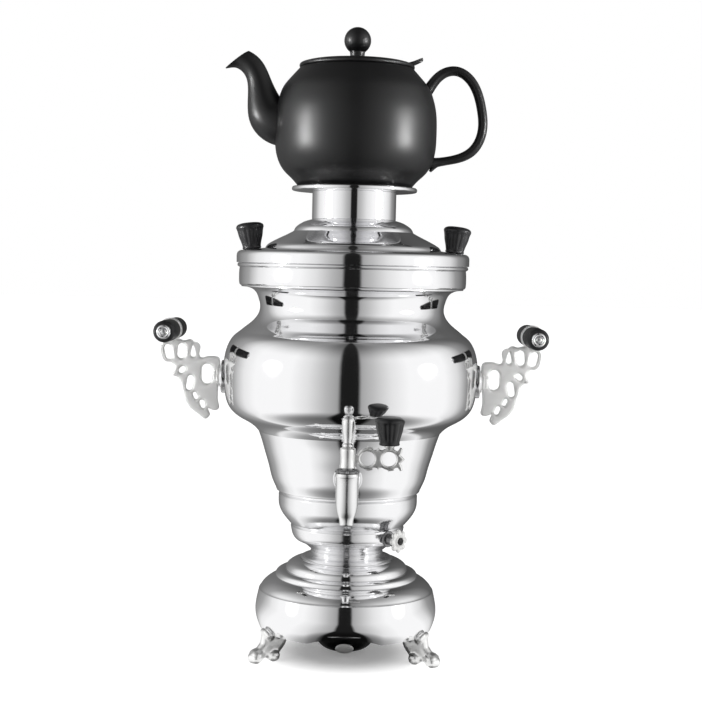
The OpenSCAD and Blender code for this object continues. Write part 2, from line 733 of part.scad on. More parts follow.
module tap_flange() {
    color("silver") difference() {
        outwards(0, z_tap) rotate_extrude($fn = small_fn) polygon([[shank_r + fit, cone_front_r - 10],
            [tap_flange_r, cone_front_r - 10], [tap_flange_r, cone_front_r + 1.6],
            [tap_flange_r - 1.2, cone_front_r + 2.6], [shank_r + 2.6, cone_front_r + 3.4],
            [shank_r + 1.6, cone_front_r + 5.6], [shank_r + fit, cone_front_r + 5.6]]);
        filled(cone_side, fit);
    }
}

module tap_gasket() {
    color("dimgray") intersection() {
        outwards(0, z_tap) tube(tap_flange_r - 1, shank_r + fit, 16, z_nut_y);
        filled(inner(cone_side, wall + fit));
    }
}

module tap_nut() {
    color("silver") difference() {
        outwards(0, z_tap, z_nut_y - fit) rotate([0, 0, 30]) mirror([0, 0, 1])
            cylinder(r = shank_r + 5, h = 5, $fn = 6);
        outwards(0, z_tap, 0) disc(shank_r + fit, z_nut_y + 8);
    }
}

module tap_body() {
    side = concat([[outlet_r - 0.5, z_outlet], [outlet_r, z_outlet + 0.6]],
        curve([[outlet_r, z_outlet + 2], [outlet_r + (tap_r - outlet_r) * 0.4, z_outlet + 6.5],
            [tap_r - 0.4, z_outlet + 12], [tap_r, z_outlet + 17], [tap_r, z_key - 2.6]]),
        [[tap_r + 0.5, z_key - 2], [tap_r + 0.5, z_key]]);
    color("silver") difference() {
        union() {
            at_tap() rotate_extrude($fn = small_fn) polygon(concat([[0, z_outlet]], side, [[0, z_key]]));
            outwards(0, z_tap, z_nut_y - 7) disc(shank_r, tap_reach - z_nut_y + 7);
        }
        at_tap(z_plug) disc(plug_r + run, z_key - z_plug + 1);
        at_tap(z_outlet - 1) disc(outlet_bore_r, z_plug - z_outlet + 2);
        outwards(0, z_tap, z_nut_y - 8) disc(water_r, tap_reach - z_nut_y + 8);
    }
}

module tap_cap() {
    color("silver") at_tap(z_key + fit) difference() {
        rotate_extrude($fn = small_fn) polygon([[0, 0], [tap_r + 0.5, 0], [tap_r + 0.7, cap_ring_h * 0.4],
            [tap_r - 0.4, cap_ring_h * 0.85], [tap_r - 1.2, cap_ring_h], [0, cap_ring_h]]);
        disc(plug_neck_r + run, cap_ring_h + 2, -1);
    }
}

z_hub = z_key + fit + cap_ring_h + 0.3;
z_rings = z_hub + key_hub_h / 2;

// The two leaves at the key's end and the points between its rings, as shares of the ring's radius
key_end = [[0.7, 0.7], [1.22, 1.02], [1.12, 0.4], [1.4, 0], [1.12, -0.4], [1.22, -1.02], [0.7, -0.7]];
key_cusps = [[-0.5, 0.55], [0, 1.02], [0.5, 0.55], [0.5, -0.55], [0, -1.02], [-0.5, -0.55]];

// How far the plug's neck stands up inside the key's hub, and the pin under the finial
plug_neck_up = 8;
finial_pin_r = 2;
finial_pin_h = 3.4;

module tap_plug() {
    color("silver") at_tap() difference() {
        union() {
            disc(plug_r, z_key - 0.1 - z_plug - 0.2, z_plug + 0.2);
            disc(plug_neck_r, z_hub + plug_neck_up - z_plug - 1, z_plug + 1);
        }
        disc(outlet_bore_r, z_tap + water_r - z_plug, z_plug - 1);
        translate([0, 0, z_tap]) rotate([0, -90, 0]) disc(water_r, plug_r + 2);
    }
}

module tap_key() {
    ring_a = key_reach - key_ring_r * 2 + 0.4;
    color("silver") at_tap() difference() {
        union() {
            rotate_extrude($fn = small_fn) polygon([[0, z_hub], [5.2, z_hub], [6.2, z_hub + 1.2],
                [6.2, z_hub + 3], [5, z_hub + 4.4], [5.6, z_rings], [5, z_hub + key_hub_h - 4.4],
                [6, z_hub + key_hub_h - 2.6], [5.6, z_hub + key_hub_h - 0.6], [4.6, z_hub + key_hub_h],
                [0, z_hub + key_hub_h]]);
            translate([0, key_t / 2, z_rings]) rotate([90, 0, 0]) linear_extrude(key_t) difference() {
                union() {
                    polygon([[0, 3], [ring_a, 3], [ring_a, -3], [0, -3]]);
                    for (x = [ring_a, key_reach]) translate([x, 0]) circle(r = key_ring_r, $fn = small_fn);
                    translate([key_reach, 0]) polygon(key_ring_r * key_end);
                    translate([(ring_a + key_reach) / 2, 0]) polygon(key_ring_r * key_cusps);
                    for (x = [ring_a, key_reach], s = [-1, 1])
                        translate([x, s * key_ring_r]) circle(r = 1.5, $fn = 16);
                }
                for (x = [ring_a, key_reach]) translate([x, 0]) circle(r = key_ring_r * 0.65, $fn = small_fn);
            }
            translate([key_reach, 0, z_rings + key_ring_r - 1]) disc(3.2, 3);
        }
        disc(plug_neck_r + fit, plug_neck_up + 1.2, z_hub - 1);
        translate([0, 0, z_hub + key_hub_h - finial_pin_h - 0.6]) disc(finial_pin_r + fit, 6);
        translate([key_reach, 0, z_rings + key_ring_r - 3]) disc(1.6, 8);
    }
}

z_knob_tap = z_rings + key_ring_r + 2 + fit;

module tap_finial() {
    z = z_hub + key_hub_h + fit;
    color("silver") at_tap(z) union() {
        rotate_extrude($fn = small_fn) polygon(concat([[0, 0], [3.4, 0]],
            curve([[3.4, 0.6], [4.6, 2], [3.5, 4], [3.8, finial_h * 0.34], [4.8, finial_h * 0.6],
                [5, finial_h * 0.76], [4.6, finial_h * 0.9], [3, finial_h * 0.985]]),
            [[0, finial_h]]));
        disc(finial_pin_r, finial_pin_h + 0.1, -finial_pin_h);
    }
}

// A moulded knob that stands on its foot, with a blind hole for its screw
screw_in_knob = 10;
module knob(screw_r) {
    color("black") rotate_extrude($fn = small_fn) polygon(concat(
        [[screw_r + fit, 0], [knob_foot_r - 0.5, 0], [knob_foot_r, 0.5]],
        curve([[knob_foot_r, 1], [knob_foot_r + 0.5, knob_h * 0.2],
            [(knob_foot_r + knob_head_r) / 2 + 0.5, knob_h * 0.52], [knob_head_r - 0.3, knob_h * 0.76],
            [knob_head_r, knob_h * 0.83], [knob_head_r - 0.7, knob_h * 0.905]]),
        curve([[knob_head_r - 2, knob_h * 0.945], [knob_head_r * 0.5, knob_h * 0.99], [0, knob_h]]),
        [[0, screw_in_knob + fit], [screw_r + fit, screw_in_knob + fit]]));
}

module tap_knob() {
    translate([key_reach, -tap_reach, z_knob_tap]) knob(1.5);
}

module tap_knob_screw() {
    z_low = z_rings + key_ring_r - 3 + fit;
    color("silver") translate([key_reach, -tap_reach, 0])
        disc(1.5, z_knob_tap + screw_in_knob - z_low, z_low);
}

// Drain cock on the small tier of the bowl
drain_wall_r = side_r(bowl_side, z_drain);
drain_end = drain_wall_r + drain_len;

module drain_stub() {
    thread_r = drain_hole_r - fit;
    color("silver") difference() {
        union() {
            outwards(drain_angle, z_drain) disc(thread_r, drain_end - drain_wall_r + 9, drain_wall_r - 9);
            difference() {
                outwards(drain_angle, z_drain) disc(drain_r, drain_len + 3, drain_wall_r - 3);
                filled(bowl_side, fit);
            }
        }
        outwards(drain_angle, z_drain) disc(thread_r - 1.4, drain_len + 3, drain_wall_r - 10);
        rotate([0, 0, drain_angle]) translate([0, -drain_wall_r - drain_len * 0.55, z_drain - drain_r - 1])
            disc(1.8, drain_r + 1);
    }
}

module drain_nut() {
    color("silver") intersection() {
        difference() {
            outwards(drain_angle, z_drain) translate([0, 0, drain_wall_r - 8])
                cylinder(r = drain_r + 2, h = 8, $fn = 6);
            outwards(drain_angle, z_drain) disc(drain_hole_r, 20, drain_wall_r - 12);
        }
        filled(inner(bowl_side, wall + fit * 3, [0, -1], [1, 0]));
    }
}

lobes = 8;
module drain_key() {
    color("silver") outwards(drain_angle, z_drain, drain_end + 0.3) difference() {
        union() {
            disc(drain_key_r - 1.4, 3);
            for (i = [0:lobes - 1]) rotate([0, 0, i * 360 / lobes]) translate([drain_key_r - 2.2, 0, 0])
                disc(2.2, 3);
            disc(4, 4.2);
        }
        disc(1.6, 8, -1);
    }
}

module drain_screw() {
    color("silver") outwards(drain_angle, z_drain, drain_end + 0.3) union() {
        disc(1.5, 4.3);
        disc(2.6, 1.4, 4.2 + fit);
    }
}

// Lid
knob_z = z_ledge + (ledge_r - knob_reach) * tan(ledge_slope);
lid_screw_r = 2;

module at_lid_knob(s) {
    translate([s * knob_reach, 0, knob_z]) rotate([0, s * ledge_slope, 0]) children();
}

module lid_shell() {
    skirt_out_r = bead_r - 4.2 - free_gap;
    color("silver") difference() {
        union() {
            lathe(sheet(lid_side, lid_t, [1, 0], [0, 1]));
            lathe([[skirt_out_r, z_lid - lid_skirt_h], [skirt_out_r, z_lid],
                [lid_r - lid_t / 2, z_lid], [lid_r - lid_t / 2, z_lid + lid_t],
                [skirt_out_r - lid_t, z_lid + lid_t], [skirt_out_r - lid_t, z_lid - lid_skirt_h]]);
        }
        for (s = [-1, 1]) at_lid_knob(s) disc(lid_screw_r + fit, 8, -4);
    }
}

module lid_knob_left() { at_lid_knob(-1) translate([0, 0, fit]) knob(lid_screw_r); }
module lid_knob_right() { at_lid_knob(1) translate([0, 0, fit]) knob(lid_screw_r); }

module lid_knob_screws() {
    low = -lid_t - 0.1;
    color("silver") for (s = [-1, 1]) at_lid_knob(s) union() {
        disc(lid_screw_r, screw_in_knob - low, low);
        disc(screw_head_r, screw_head_h, low - screw_head_h);
    }
}

// Chimney collar and teapot stand
module chimney_collar() {
    z_low = z_collar + seat;
    color("silver") lathe([[collar_r - collar_wall, z_low], [collar_r, z_low], [collar_r, z_stand],
        [collar_r - collar_wall, z_stand]]);
}

module teapot_stand() {
    color("silver") lathe(concat([[stand_hole_r, z_stand + stand_t], [stand_hole_r, z_stand]],
        curve([[stand_r - 2, z_stand], [stand_r - 0.3, z_stand + 0.7], [stand_r, z_stand + stand_h * 0.5],
            [stand_r - 0.4, z_stand + stand_h - 0.6], [stand_r - 1.3, z_stand + stand_h],
            [stand_r - 2.4, z_stand + stand_h - 0.7], [stand_r - 2.8, z_stand + stand_t]])));
}

// Teapot
pot_side = concat([[pot_foot_r - 1, z_pot]],
    curve(concat(
        span([pot_foot_r, z_pot], [pot_r, z_pot + pot_h * 0.46],
            [[0, 0.015], [0.1, 0.08], [0.3, 0.18], [0.58, 0.3], [0.8, 0.45], [0.96, 0.7], [1, 1]]),
        span([pot_r, z_pot + pot_h * 0.46], [pot_mouth_r, z_pot_rim],
            [[0.005, 0.22], [0.06, 0.4], [0.18, 0.58], [0.3, 0.69], [0.55, 0.81], [0.8, 0.91], [1, 1]]))));

// Middle line of the spout and of the handle: x and radius as shares of the pot's radius, height above
// the pot's foot as a share of the pot's height
spout_line = [
    [-0.704, 0.514, 0.301], [-0.821, 0.534, 0.293], [-0.968, 0.553, 0.286], [-1.07, 0.603, 0.264],
    [-1.129, 0.682, 0.224], [-1.166, 0.771, 0.185], [-1.195, 0.85, 0.155], [-1.232, 0.929, 0.139],
    [-1.29, 0.998, 0.135], [-1.378, 1.047, 0.129], [-1.481, 1.071, 0.122], [-1.642, 1.063, 0.122]];
handle_line = [
    [0.733, 0.711, 0.073], [0.88, 0.835, 0.067], [0.968, 0.919, 0.063], [1.085, 0.983, 0.06],
    [1.232, 0.998, 0.059], [1.378, 0.944, 0.059], [1.488, 0.83, 0.059], [1.547, 0.692, 0.059],
    [1.569, 0.553, 0.059], [1.532, 0.43, 0.059], [1.437, 0.336, 0.059], [1.305, 0.285, 0.056],
    [1.144, 0.257, 0.053], [0.997, 0.237, 0.056], [0.88, 0.231, 0.065], [0.704, 0.223, 0.073]];
spout_cut = [-1.496, 1.05];
spout_cut_lean = 37;

function on_pot(p) = [p[0] * pot_r, z_pot + p[1] * pot_h, p[2] * pot_r];
function pot_curve(line) = curve([for (p = line) on_pot(p)], 3);

function ring_points(c, d, r, flat, sides) = let (t = unit(d), n = [-t[1], t[0]])
    [for (k = [0:sides - 1]) let (a = k * 360 / sides)
        [c[0] + r * cos(a) * n[0], r * flat * sin(a), c[1] + r * cos(a) * n[1]]];

// A bent tube in the XZ plane along a line of x, z and radius
module bent(line, sides, flat = 1, less = 0) {
    last = len(line) - 1;
    points = [for (i = [0:last]) each ring_points([line[i][0], line[i][1]],
        [knot(line, i + 1)[0] - knot(line, i - 1)[0], knot(line, i + 1)[1] - knot(line, i - 1)[1]],
        line[i][2] - less, flat, sides)];
    skin = [for (i = [0:last - 1], k = [0:sides - 1]) let (a = i * sides + k, b = i * sides + (k + 1) % sides)
        each [[a, b, a + sides], [b, b + sides, a + sides]]];
    far = last * sides;
    ends = [for (k = [1:sides - 2]) each [[0, k + 1, k], [far, far + k, far + k + 1]]];
    polyhedron(points, concat(skin, ends), convexity = 6);
}

module spout_cutter() {
    translate([spout_cut[0] * pot_r, 0, z_pot + spout_cut[1] * pot_h]) rotate([0, -spout_cut_lean, 0])
        translate([-pot_r / 2, -pot_r / 2, 0]) cube([pot_r, pot_r, pot_r / 2]);
}

module teapot_body() {
    inside = concat([[0, z_pot + pot_wall], [pot_foot_r - pot_wall, z_pot + pot_wall]],
        [for (p = inner(pot_side, pot_wall, [1, 0], [1, 0])) if (p[1] > z_pot + pot_wall + 1) p],
        [[pot_mouth_r - pot_wall, z_pot_rim + 2], [0, z_pot_rim + 2]]);
    color("black") difference() {
        union() {
            lathe(concat([[0, z_pot]], pot_side, [[0, z_pot_rim]]));
            difference() {
                bent(pot_curve(spout_line), 24);
                spout_cutter();
            }
            bent(pot_curve(handle_line), 16, grip_width_ratio);
        }
        bent(pot_curve(concat([[spout_line[0][0] + 0.15, spout_line[0][1], spout_line[0][2]]], spout_line)),
            16, 1, spout_wall);
        lathe(inside);
    }
}

module teapot_lid() {
    neck_foot_z = z_pot_lid + pot_lid_h;
    z_ball = neck_foot_z + pot_neck_h + pot_ball_r * 0.88;
    plug_out_r = pot_mouth_r - pot_wall - free_gap;
    plug_h = 7;
    side = concat(
        curve([[pot_mouth_r - 0.6, z_pot_lid], [pot_mouth_r + 0.7, z_pot_lid + pot_lid_h * 0.2],
            [pot_mouth_r - 0.5, z_pot_lid + pot_lid_h * 0.55],
            [pot_mouth_r * 0.9, z_pot_lid + pot_lid_h * 0.76],
            [pot_mouth_r * 0.5, z_pot_lid + pot_lid_h * 0.94], [pot_ball_r * 0.72, neck_foot_z + 0.2],
            [pot_ball_r * 0.56, neck_foot_z + pot_neck_h * 0.35],
            [pot_ball_r * 0.54, neck_foot_z + pot_neck_h * 0.9]]),
        [for (a = [-56:8:88]) [pot_ball_r * cos(a), z_ball + pot_ball_r * sin(a)]],
        [[0, z_ball + pot_ball_r]]);
    color("black") union() {
        lathe(concat([[0, z_pot_lid + 2]], [[plug_out_r - 3, z_pot_lid + 2],
            [plug_out_r - 3, z_pot_lid - plug_h], [plug_out_r, z_pot_lid - plug_h],
            [plug_out_r, z_pot_lid]], side));
        translate([pot_mouth_r - 6, 0, z_pot_lid + pot_lid_h * 0.6]) rotate([0, -15, 0]) thumb_tab();
    }
}

// A tongue for the thumb, on the side of the teapot's handle
module thumb_tab() {
    tab_len = 11;
    tab_w = 9;
    tab_t = 2.8;
    translate([-tab_w / 2, -tab_w / 2, -tab_t / 2]) cube([tab_len + tab_w / 2, tab_w, tab_t]);
    translate([tab_len, 0, -tab_t / 2]) disc(tab_w / 2, tab_t);
}

base_shell();
base_plate();
ash_pan();
foot_left();
foot_right();
foot_rear();
foot_screws();
neck_collar();
grate();
fire_tube();
bowl_shell();
cone_shell();
bulb_shell();
rim_band();
tap_flange();
tap_gasket();
tap_nut();
tap_body();
tap_cap();
tap_plug();
tap_key();
tap_finial();
tap_knob();
tap_knob_screw();
drain_stub();
drain_nut();
drain_key();
drain_screw();
handle_flange_left();
handle_flange_right();
bracket_left();
bracket_right();
grip_left_front();
grip_left_rear();
grip_right_front();
grip_right_rear();
grip_rod_left();
grip_rod_right();
grip_caps();
handle_bolts();
handle_seals();
lid_shell();
lid_knob_left();
lid_knob_right();
lid_knob_screws();
chimney_collar();
teapot_stand();
teapot_body();
teapot_lid();
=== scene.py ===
# Looks of a polished table samovar with a black teapot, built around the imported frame.
# Metres, +Z up, tap at -Y.
import math
import bmesh
import bpy
import numpy as np
from mathutils import Matrix, Vector


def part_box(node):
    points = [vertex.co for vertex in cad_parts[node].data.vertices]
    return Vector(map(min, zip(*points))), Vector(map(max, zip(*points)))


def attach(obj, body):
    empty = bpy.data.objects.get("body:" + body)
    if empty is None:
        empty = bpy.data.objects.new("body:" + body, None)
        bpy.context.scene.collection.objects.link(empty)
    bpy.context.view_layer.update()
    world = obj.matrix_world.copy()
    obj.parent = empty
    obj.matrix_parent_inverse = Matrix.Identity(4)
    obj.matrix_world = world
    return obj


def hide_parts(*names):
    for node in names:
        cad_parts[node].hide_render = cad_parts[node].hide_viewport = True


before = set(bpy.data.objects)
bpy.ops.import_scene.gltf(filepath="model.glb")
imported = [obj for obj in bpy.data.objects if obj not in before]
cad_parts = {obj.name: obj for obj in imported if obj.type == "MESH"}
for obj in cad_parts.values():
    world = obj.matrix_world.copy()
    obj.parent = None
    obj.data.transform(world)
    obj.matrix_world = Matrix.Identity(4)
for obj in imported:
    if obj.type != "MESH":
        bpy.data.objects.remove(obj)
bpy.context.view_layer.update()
mm = 0.001
print("frame loaded:", len(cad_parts), "nodes")

# small helpers


def linearColor(code, alpha=1.0):
    def channel(v):
        return v / 12.92 if v <= 0.04045 else ((v + 0.055) / 1.055) ** 2.4
    return tuple(channel(int(code[i:i + 2], 16) / 255) for i in (0, 2, 4)) + (alpha,)


def addNode(tree, kind, settings=None, links=None):
    # links take a socket, or a node for its first output
    node = tree.nodes.new(kind)
    for name, value in (settings or {}).items():
        if isinstance(name, str) and hasattr(node, name):
            setattr(node, name, value)
        else:
            node.inputs[name].default_value = value
    for name, source in (links or {}).items():
        tree.links.new(source.outputs[0] if hasattr(source, "outputs") else source, node.inputs[name])
    return node


def inOrder(tree, kind, settings, values):
    # a node whose first inputs take numbers, sockets or nodes, in their order
    numbers = {i: v for i, v in enumerate(values) if isinstance(v, (int, float))}
    links = {i: v for i, v in enumerate(values) if i not in numbers}
    return addNode(tree, kind, {**settings, **numbers}, links)


def mathNode(tree, operation, *values):
    return inOrder(tree, "ShaderNodeMath", {"operation": operation}, values)


def rangeNode(tree, kind, *values):
    # value, then its low and high, then what they are carried over to
    return inOrder(tree, "ShaderNodeMapRange", {"interpolation_type": kind}, values)


def vectorNode(tree, *values):
    return inOrder(tree, "ShaderNodeCombineXYZ", {}, values)


def newObject(name, data):
    built = bpy.data.objects.new(name, data)
    bpy.context.scene.collection.objects.link(built)
    return built


def fromBmesh(name, bm):
    mesh = bpy.data.meshes.new(name)
    bm.to_mesh(mesh)
    bm.free()
    return newObject(name, mesh)


def raised(line, low):
    return [(r, z + low) for r, z in line]


def bottomOf(node):
    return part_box(node)[0].z / mm


def topOf(node):
    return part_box(node)[1].z / mm


def smoothLine(points, step=1.2):
    # a natural cubic spline through the points, by chord length, sampled about every step millimetres
    p = np.array(points, float)
    if len(p) < 3:
        return [tuple(q) for q in p]
    h = np.linalg.norm(np.diff(p[:, :2], axis=0), axis=1)
    n = len(p)
    a = np.zeros((n, n))
    b = np.zeros((n, p.shape[1]))
    a[0, 0] = a[-1, -1] = 1
    for i in range(1, n - 1):
        a[i, i - 1:i + 2] = h[i - 1], 2 * (h[i - 1] + h[i]), h[i]
        b[i] = 6 * ((p[i + 1] - p[i]) / h[i] - (p[i] - p[i - 1]) / h[i - 1])
    m = np.linalg.solve(a, b)
    out = []
    for i in range(n - 1):
        count = max(2, int(round(h[i] / step)))
        for j in range(count):
            s = h[i] * j / count
            r = h[i] - s
            out.append(m[i] * r ** 3 / (6 * h[i]) + m[i + 1] * s ** 3 / (6 * h[i])
                       + (p[i] / h[i] - m[i] * h[i] / 6) * r + (p[i + 1] / h[i] - m[i + 1] * h[i] / 6) * s)
    out.append(p[-1])
    return [tuple(q) for q in out]


def joinLines(stretches, step=1.2):
    line = []
    for stretch in stretches:
        part = smoothLine(stretch, step)
        line += part[1:] if line and math.dist(line[-1], part[0]) < 1e-6 else part
    return line


def insetLine(line, wall, first=(1, 0), last=(1, 0)):
    # the other side of a sheet: each point moved by the wall, square to the line
    p = np.array(line, float)
    d = np.gradient(p, axis=0)
    d /= np.linalg.norm(d, axis=1)[:, None]
    n = np.stack([d[:, 1], -d[:, 0]], axis=1)
    n[0], n[-1] = first, last
    return [tuple(q) for q in p - wall * n]


def meshObject(name, verts, faces, smoothAngle=38):
    mesh = bpy.data.meshes.new(name)
    mesh.from_pydata([tuple(v) for v in verts], [], faces)
    mesh.validate()
    built = newObject(name, mesh)
    smoothShade(built, smoothAngle)
    return built


def smoothShade(obj, angle=38):
    obj.data.polygons.foreach_set("use_smooth", [True] * len(obj.data.polygons))
    obj.data.set_sharp_from_angle(angle=math.radians(angle))


def solidOfBalls(name, chains, voxel=0.5, smoothing=6):
    # balls threaded along smooth lines of (x, y, z, radius), fused into one casting by a voxel remesh
    bm = bmesh.new()
    for chain in chains:
        p = np.array(chain, float)
        for i in range(max(1, len(p) - 1)):
            near, far = p[i], p[min(i + 1, len(p) - 1)]
            gap = np.linalg.norm(far[:3] - near[:3])
            count = max(1, int(math.ceil(gap / (0.22 * min(near[3], far[3])))))
            for j in range(count + 1):
                x, y, z, r = near + (far - near) * j / count
                bmesh.ops.create_icosphere(bm, subdivisions=2, radius=r, matrix=Matrix.Translation((x, y, z)))
    built = fromBmesh(name, bm)
    fuse = built.modifiers.new("fuse", "REMESH")
    fuse.mode = "VOXEL"
    fuse.voxel_size = voxel
    soft = built.modifiers.new("soften", "SMOOTH")
    soft.factor = 0.5
    soft.iterations = smoothing
    built = asMesh(built, name)
    smoothShade(built, 180)
    return built


def castPlate(name, outlines, thick, round_, matrix):
    # flat openwork with rounded edges, from closed outlines in millimetres in the XZ plane
    curve = bpy.data.curves.new(name, "CURVE")
    curve.dimensions = "2D"
    curve.fill_mode = "BOTH"
    curve.extrude = thick / 2 - round_
    curve.bevel_depth = round_
    curve.bevel_resolution = 3
    curve.offset = -round_
    for outline in outlines:
        spline = curve.splines.new("POLY")
        spline.points.add(len(outline) - 1)
        for point, (x, z) in zip(spline.points, outline):
            point.co = (x, z, 0, 1)
        spline.use_cyclic_u = True
    plate = asMesh(newObject(name, curve), name)
    stand = Matrix.Rotation(math.pi / 2, 4, "X")
    place(plate, matrix @ Matrix.Scale(mm, 4) @ stand)
    faceOutwards(plate)
    smoothShade(plate, 45)
    return plate


def ringOf(x, z, r, count=40):
    return [(x + r * math.cos(2 * math.pi * k / count), z + r * math.sin(2 * math.pi * k / count))
            for k in range(count)]


def closedLine(points, count=5):
    # a closed Catmull-Rom line through the points
    p = [np.array(q, float) for q in points]
    n = len(p)
    line = []
    for i in range(n):
        a, b, c, d = p[i - 1], p[i], p[(i + 1) % n], p[(i + 2) % n]
        for j in range(count):
            t = j / count
            line.append(tuple(0.5 * (2 * b + (c - a) * t + (2 * a - 5 * b + 4 * c - d) * t ** 2
                                     + (3 * b - 3 * c + d - a) * t ** 3)))
    return line


def revolve(name, loop, segments=160, smoothAngle=30):
    # a closed outline of (radius, height) in millimetres, turned round the vertical axis
    verts, rings = [], []
    for r, z in loop:
        if r < 1e-4:
            rings.append([len(verts)])
            verts.append((0, 0, z * mm))
        else:
            rings.append(range(len(verts), len(verts) + segments))
            turns = [2 * math.pi * k / segments for k in range(segments)]
            verts += [(r * mm * math.cos(a), r * mm * math.sin(a), z * mm) for a in turns]
    faces = []
    for i in range(len(rings)):
        a, b = rings[i], rings[(i + 1) % len(rings)]
        for k in range(segments):
            n = (k + 1) % segments
            if len(a) == 1 and len(b) == 1:
                break
            if len(a) == 1:
                faces.append((a[0], b[n], b[k]))
            elif len(b) == 1:
                faces.append((a[k], a[n], b[0]))
            else:
                faces.append((a[k], a[n], b[n], b[k]))
    return meshObject(name, verts, faces, smoothAngle)


def faceOutwards(obj):
    bm = bmesh.new()
    bm.from_mesh(obj.data)
    bmesh.ops.remove_doubles(bm, verts=bm.verts, dist=1e-7)
    bmesh.ops.recalc_face_normals(bm, faces=bm.faces)
    bm.to_mesh(obj.data)
    bm.free()


def place(obj, matrix):
    obj.data.transform(matrix)
    if matrix.determinant() < 0:
        obj.data.flip_normals()
    obj.data.update()
    return obj


def joined(name, parts):
    bm = bmesh.new()
    for part in parts:
        bm.from_mesh(part.data)
        bpy.data.objects.remove(part)
    built = fromBmesh(name, bm)
    smoothShade(built)
    return built


def dress(obj, material, body, slotName, *nodes):
    obj.data.materials.clear()
    obj.data.materials.append(material)
    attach(obj, body)
    if nodes:
        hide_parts(*nodes)


def asMesh(obj, name):
    # the evaluated result of curves or modifiers as a plain mesh object
    deps = bpy.context.evaluated_depsgraph_get()
    deps.update()
    mesh = bpy.data.meshes.new_from_object(obj.evaluated_get(deps))
    mesh.name = name
    bpy.data.objects.remove(obj)
    return newObject(name, mesh)


# camera: about 1.25 m away, a little above the middle, as the photograph was taken
cameraSet = dict(place=(0.008, -1.25, 0.331), target=(0, 0, 0.259), lens=75.4, roll=1.25)


def makeCamera(s):
    data = bpy.data.cameras.new("camera")
    data.lens = s["lens"]
    data.sensor_width = 36
    data.clip_start = 0.05
    cam = newObject("camera", data)
    look = Vector(s["target"]) - Vector(s["place"])
    turn = look.to_track_quat("-Z", "Y").to_matrix().to_4x4()
    roll = Matrix.Rotation(math.radians(s["roll"]), 4, "Z")
    cam.matrix_world = Matrix.Translation(s["place"]) @ turn @ roll
    bpy.context.scene.camera = cam


makeCamera(cameraSet)

# materials


def newMaterial(name, settings):
    material = bpy.data.materials.new(name)
    material.use_nodes = True
    tree = material.node_tree
    bsdf = tree.nodes["Principled BSDF"]
    for key, value in settings.items():
        bsdf.inputs[key].default_value = value
    return material, tree, bsdf


def newMetal(name, color, rough):
    return newMaterial(name, {"Base Color": linearColor(color), "Metallic": 1.0, "Roughness": rough})


def noiseNode(tree, spot, scale, detail):
    return addNode(tree, "ShaderNodeTexNoise", {"Scale": scale, "Detail": detail}, {"Vector": spot})


def bumpNode(tree, height, depth, strength, under=None):
    # relief of depth millimetres, on top of the relief under it
    links = {"Height": height, "Normal": under} if under else {"Height": height}
    return addNode(tree, "ShaderNodeBump", {"Distance": depth * mm, "Strength": strength}, links)


def drive(tree, bsdf, rough, relief):
    tree.links.new(rough.outputs[0], bsdf.inputs["Roughness"])
    tree.links.new(relief.outputs[0], bsdf.inputs["Normal"])


def aroundAxis(tree):
    # Object coordinates as distance from the axis and height: a pattern runs round the piece, as from a lathe
    spot = addNode(tree, "ShaderNodeTexCoord").outputs["Object"]
    parts = addNode(tree, "ShaderNodeSeparateXYZ", links={0: spot})
    flat = addNode(tree, "ShaderNodeCombineXYZ", links={"X": parts.outputs["X"], "Y": parts.outputs["Y"]})
    far = addNode(tree, "ShaderNodeVectorMath", {"operation": "LENGTH"}, {0: flat})
    slow = addNode(tree, "ShaderNodeVectorMath", {"operation": "SCALE", "Scale": 0.04}, {0: flat})
    bands = addNode(tree, "ShaderNodeCombineXYZ", links={"X": far.outputs["Value"], "Z": parts.outputs["Z"]})
    return addNode(tree, "ShaderNodeVectorMath", {"operation": "ADD"},
                   {0: slow, 1: bands}).outputs[0], spot


def polishedSteel(name, color, low, high, bandMm=1.1, bandDepth=0.012, waveDepth=0.05):
    # stainless sheet, spun and mirror-polished: a clear reflection with faint rings from the buffing wheel
    material, tree, bsdf = newMetal(name, color, low)
    rings, spot = aroundAxis(tree)
    fine = noiseNode(tree, rings, 1 / (bandMm * mm), 3.0)
    smear = noiseNode(tree, spot, 22.0, 4.0)
    rough = rangeNode(tree, "LINEAR", mathNode(tree, "MULTIPLY", fine, smear), 0.12, 0.42, low, high)
    swell = bumpNode(tree, noiseNode(tree, spot, 14.0, 1.0), waveDepth, 0.6)
    drive(tree, bsdf, rough, bumpNode(tree, fine, bandDepth, 0.35, swell))
    return material


def castMetal(name, color, low, high, grainMm=0.9, depth=0.05):
    # zinc casting under bright plate: softly polished on top, duller and a little uneven from the sand
    material, tree, bsdf = newMetal(name, color, low)
    spot = addNode(tree, "ShaderNodeTexCoord").outputs["Object"]
    grain = noiseNode(tree, spot, 1 / (grainMm * mm), 3.0)
    patch = noiseNode(tree, spot, 90.0, 3.0)
    lump = bumpNode(tree, patch, depth * 3, 0.5)
    rough = rangeNode(tree, "LINEAR", patch, 0.35, 0.65, low, high)
    drive(tree, bsdf, rough, bumpNode(tree, grain, depth, 0.5, lump))
    return material


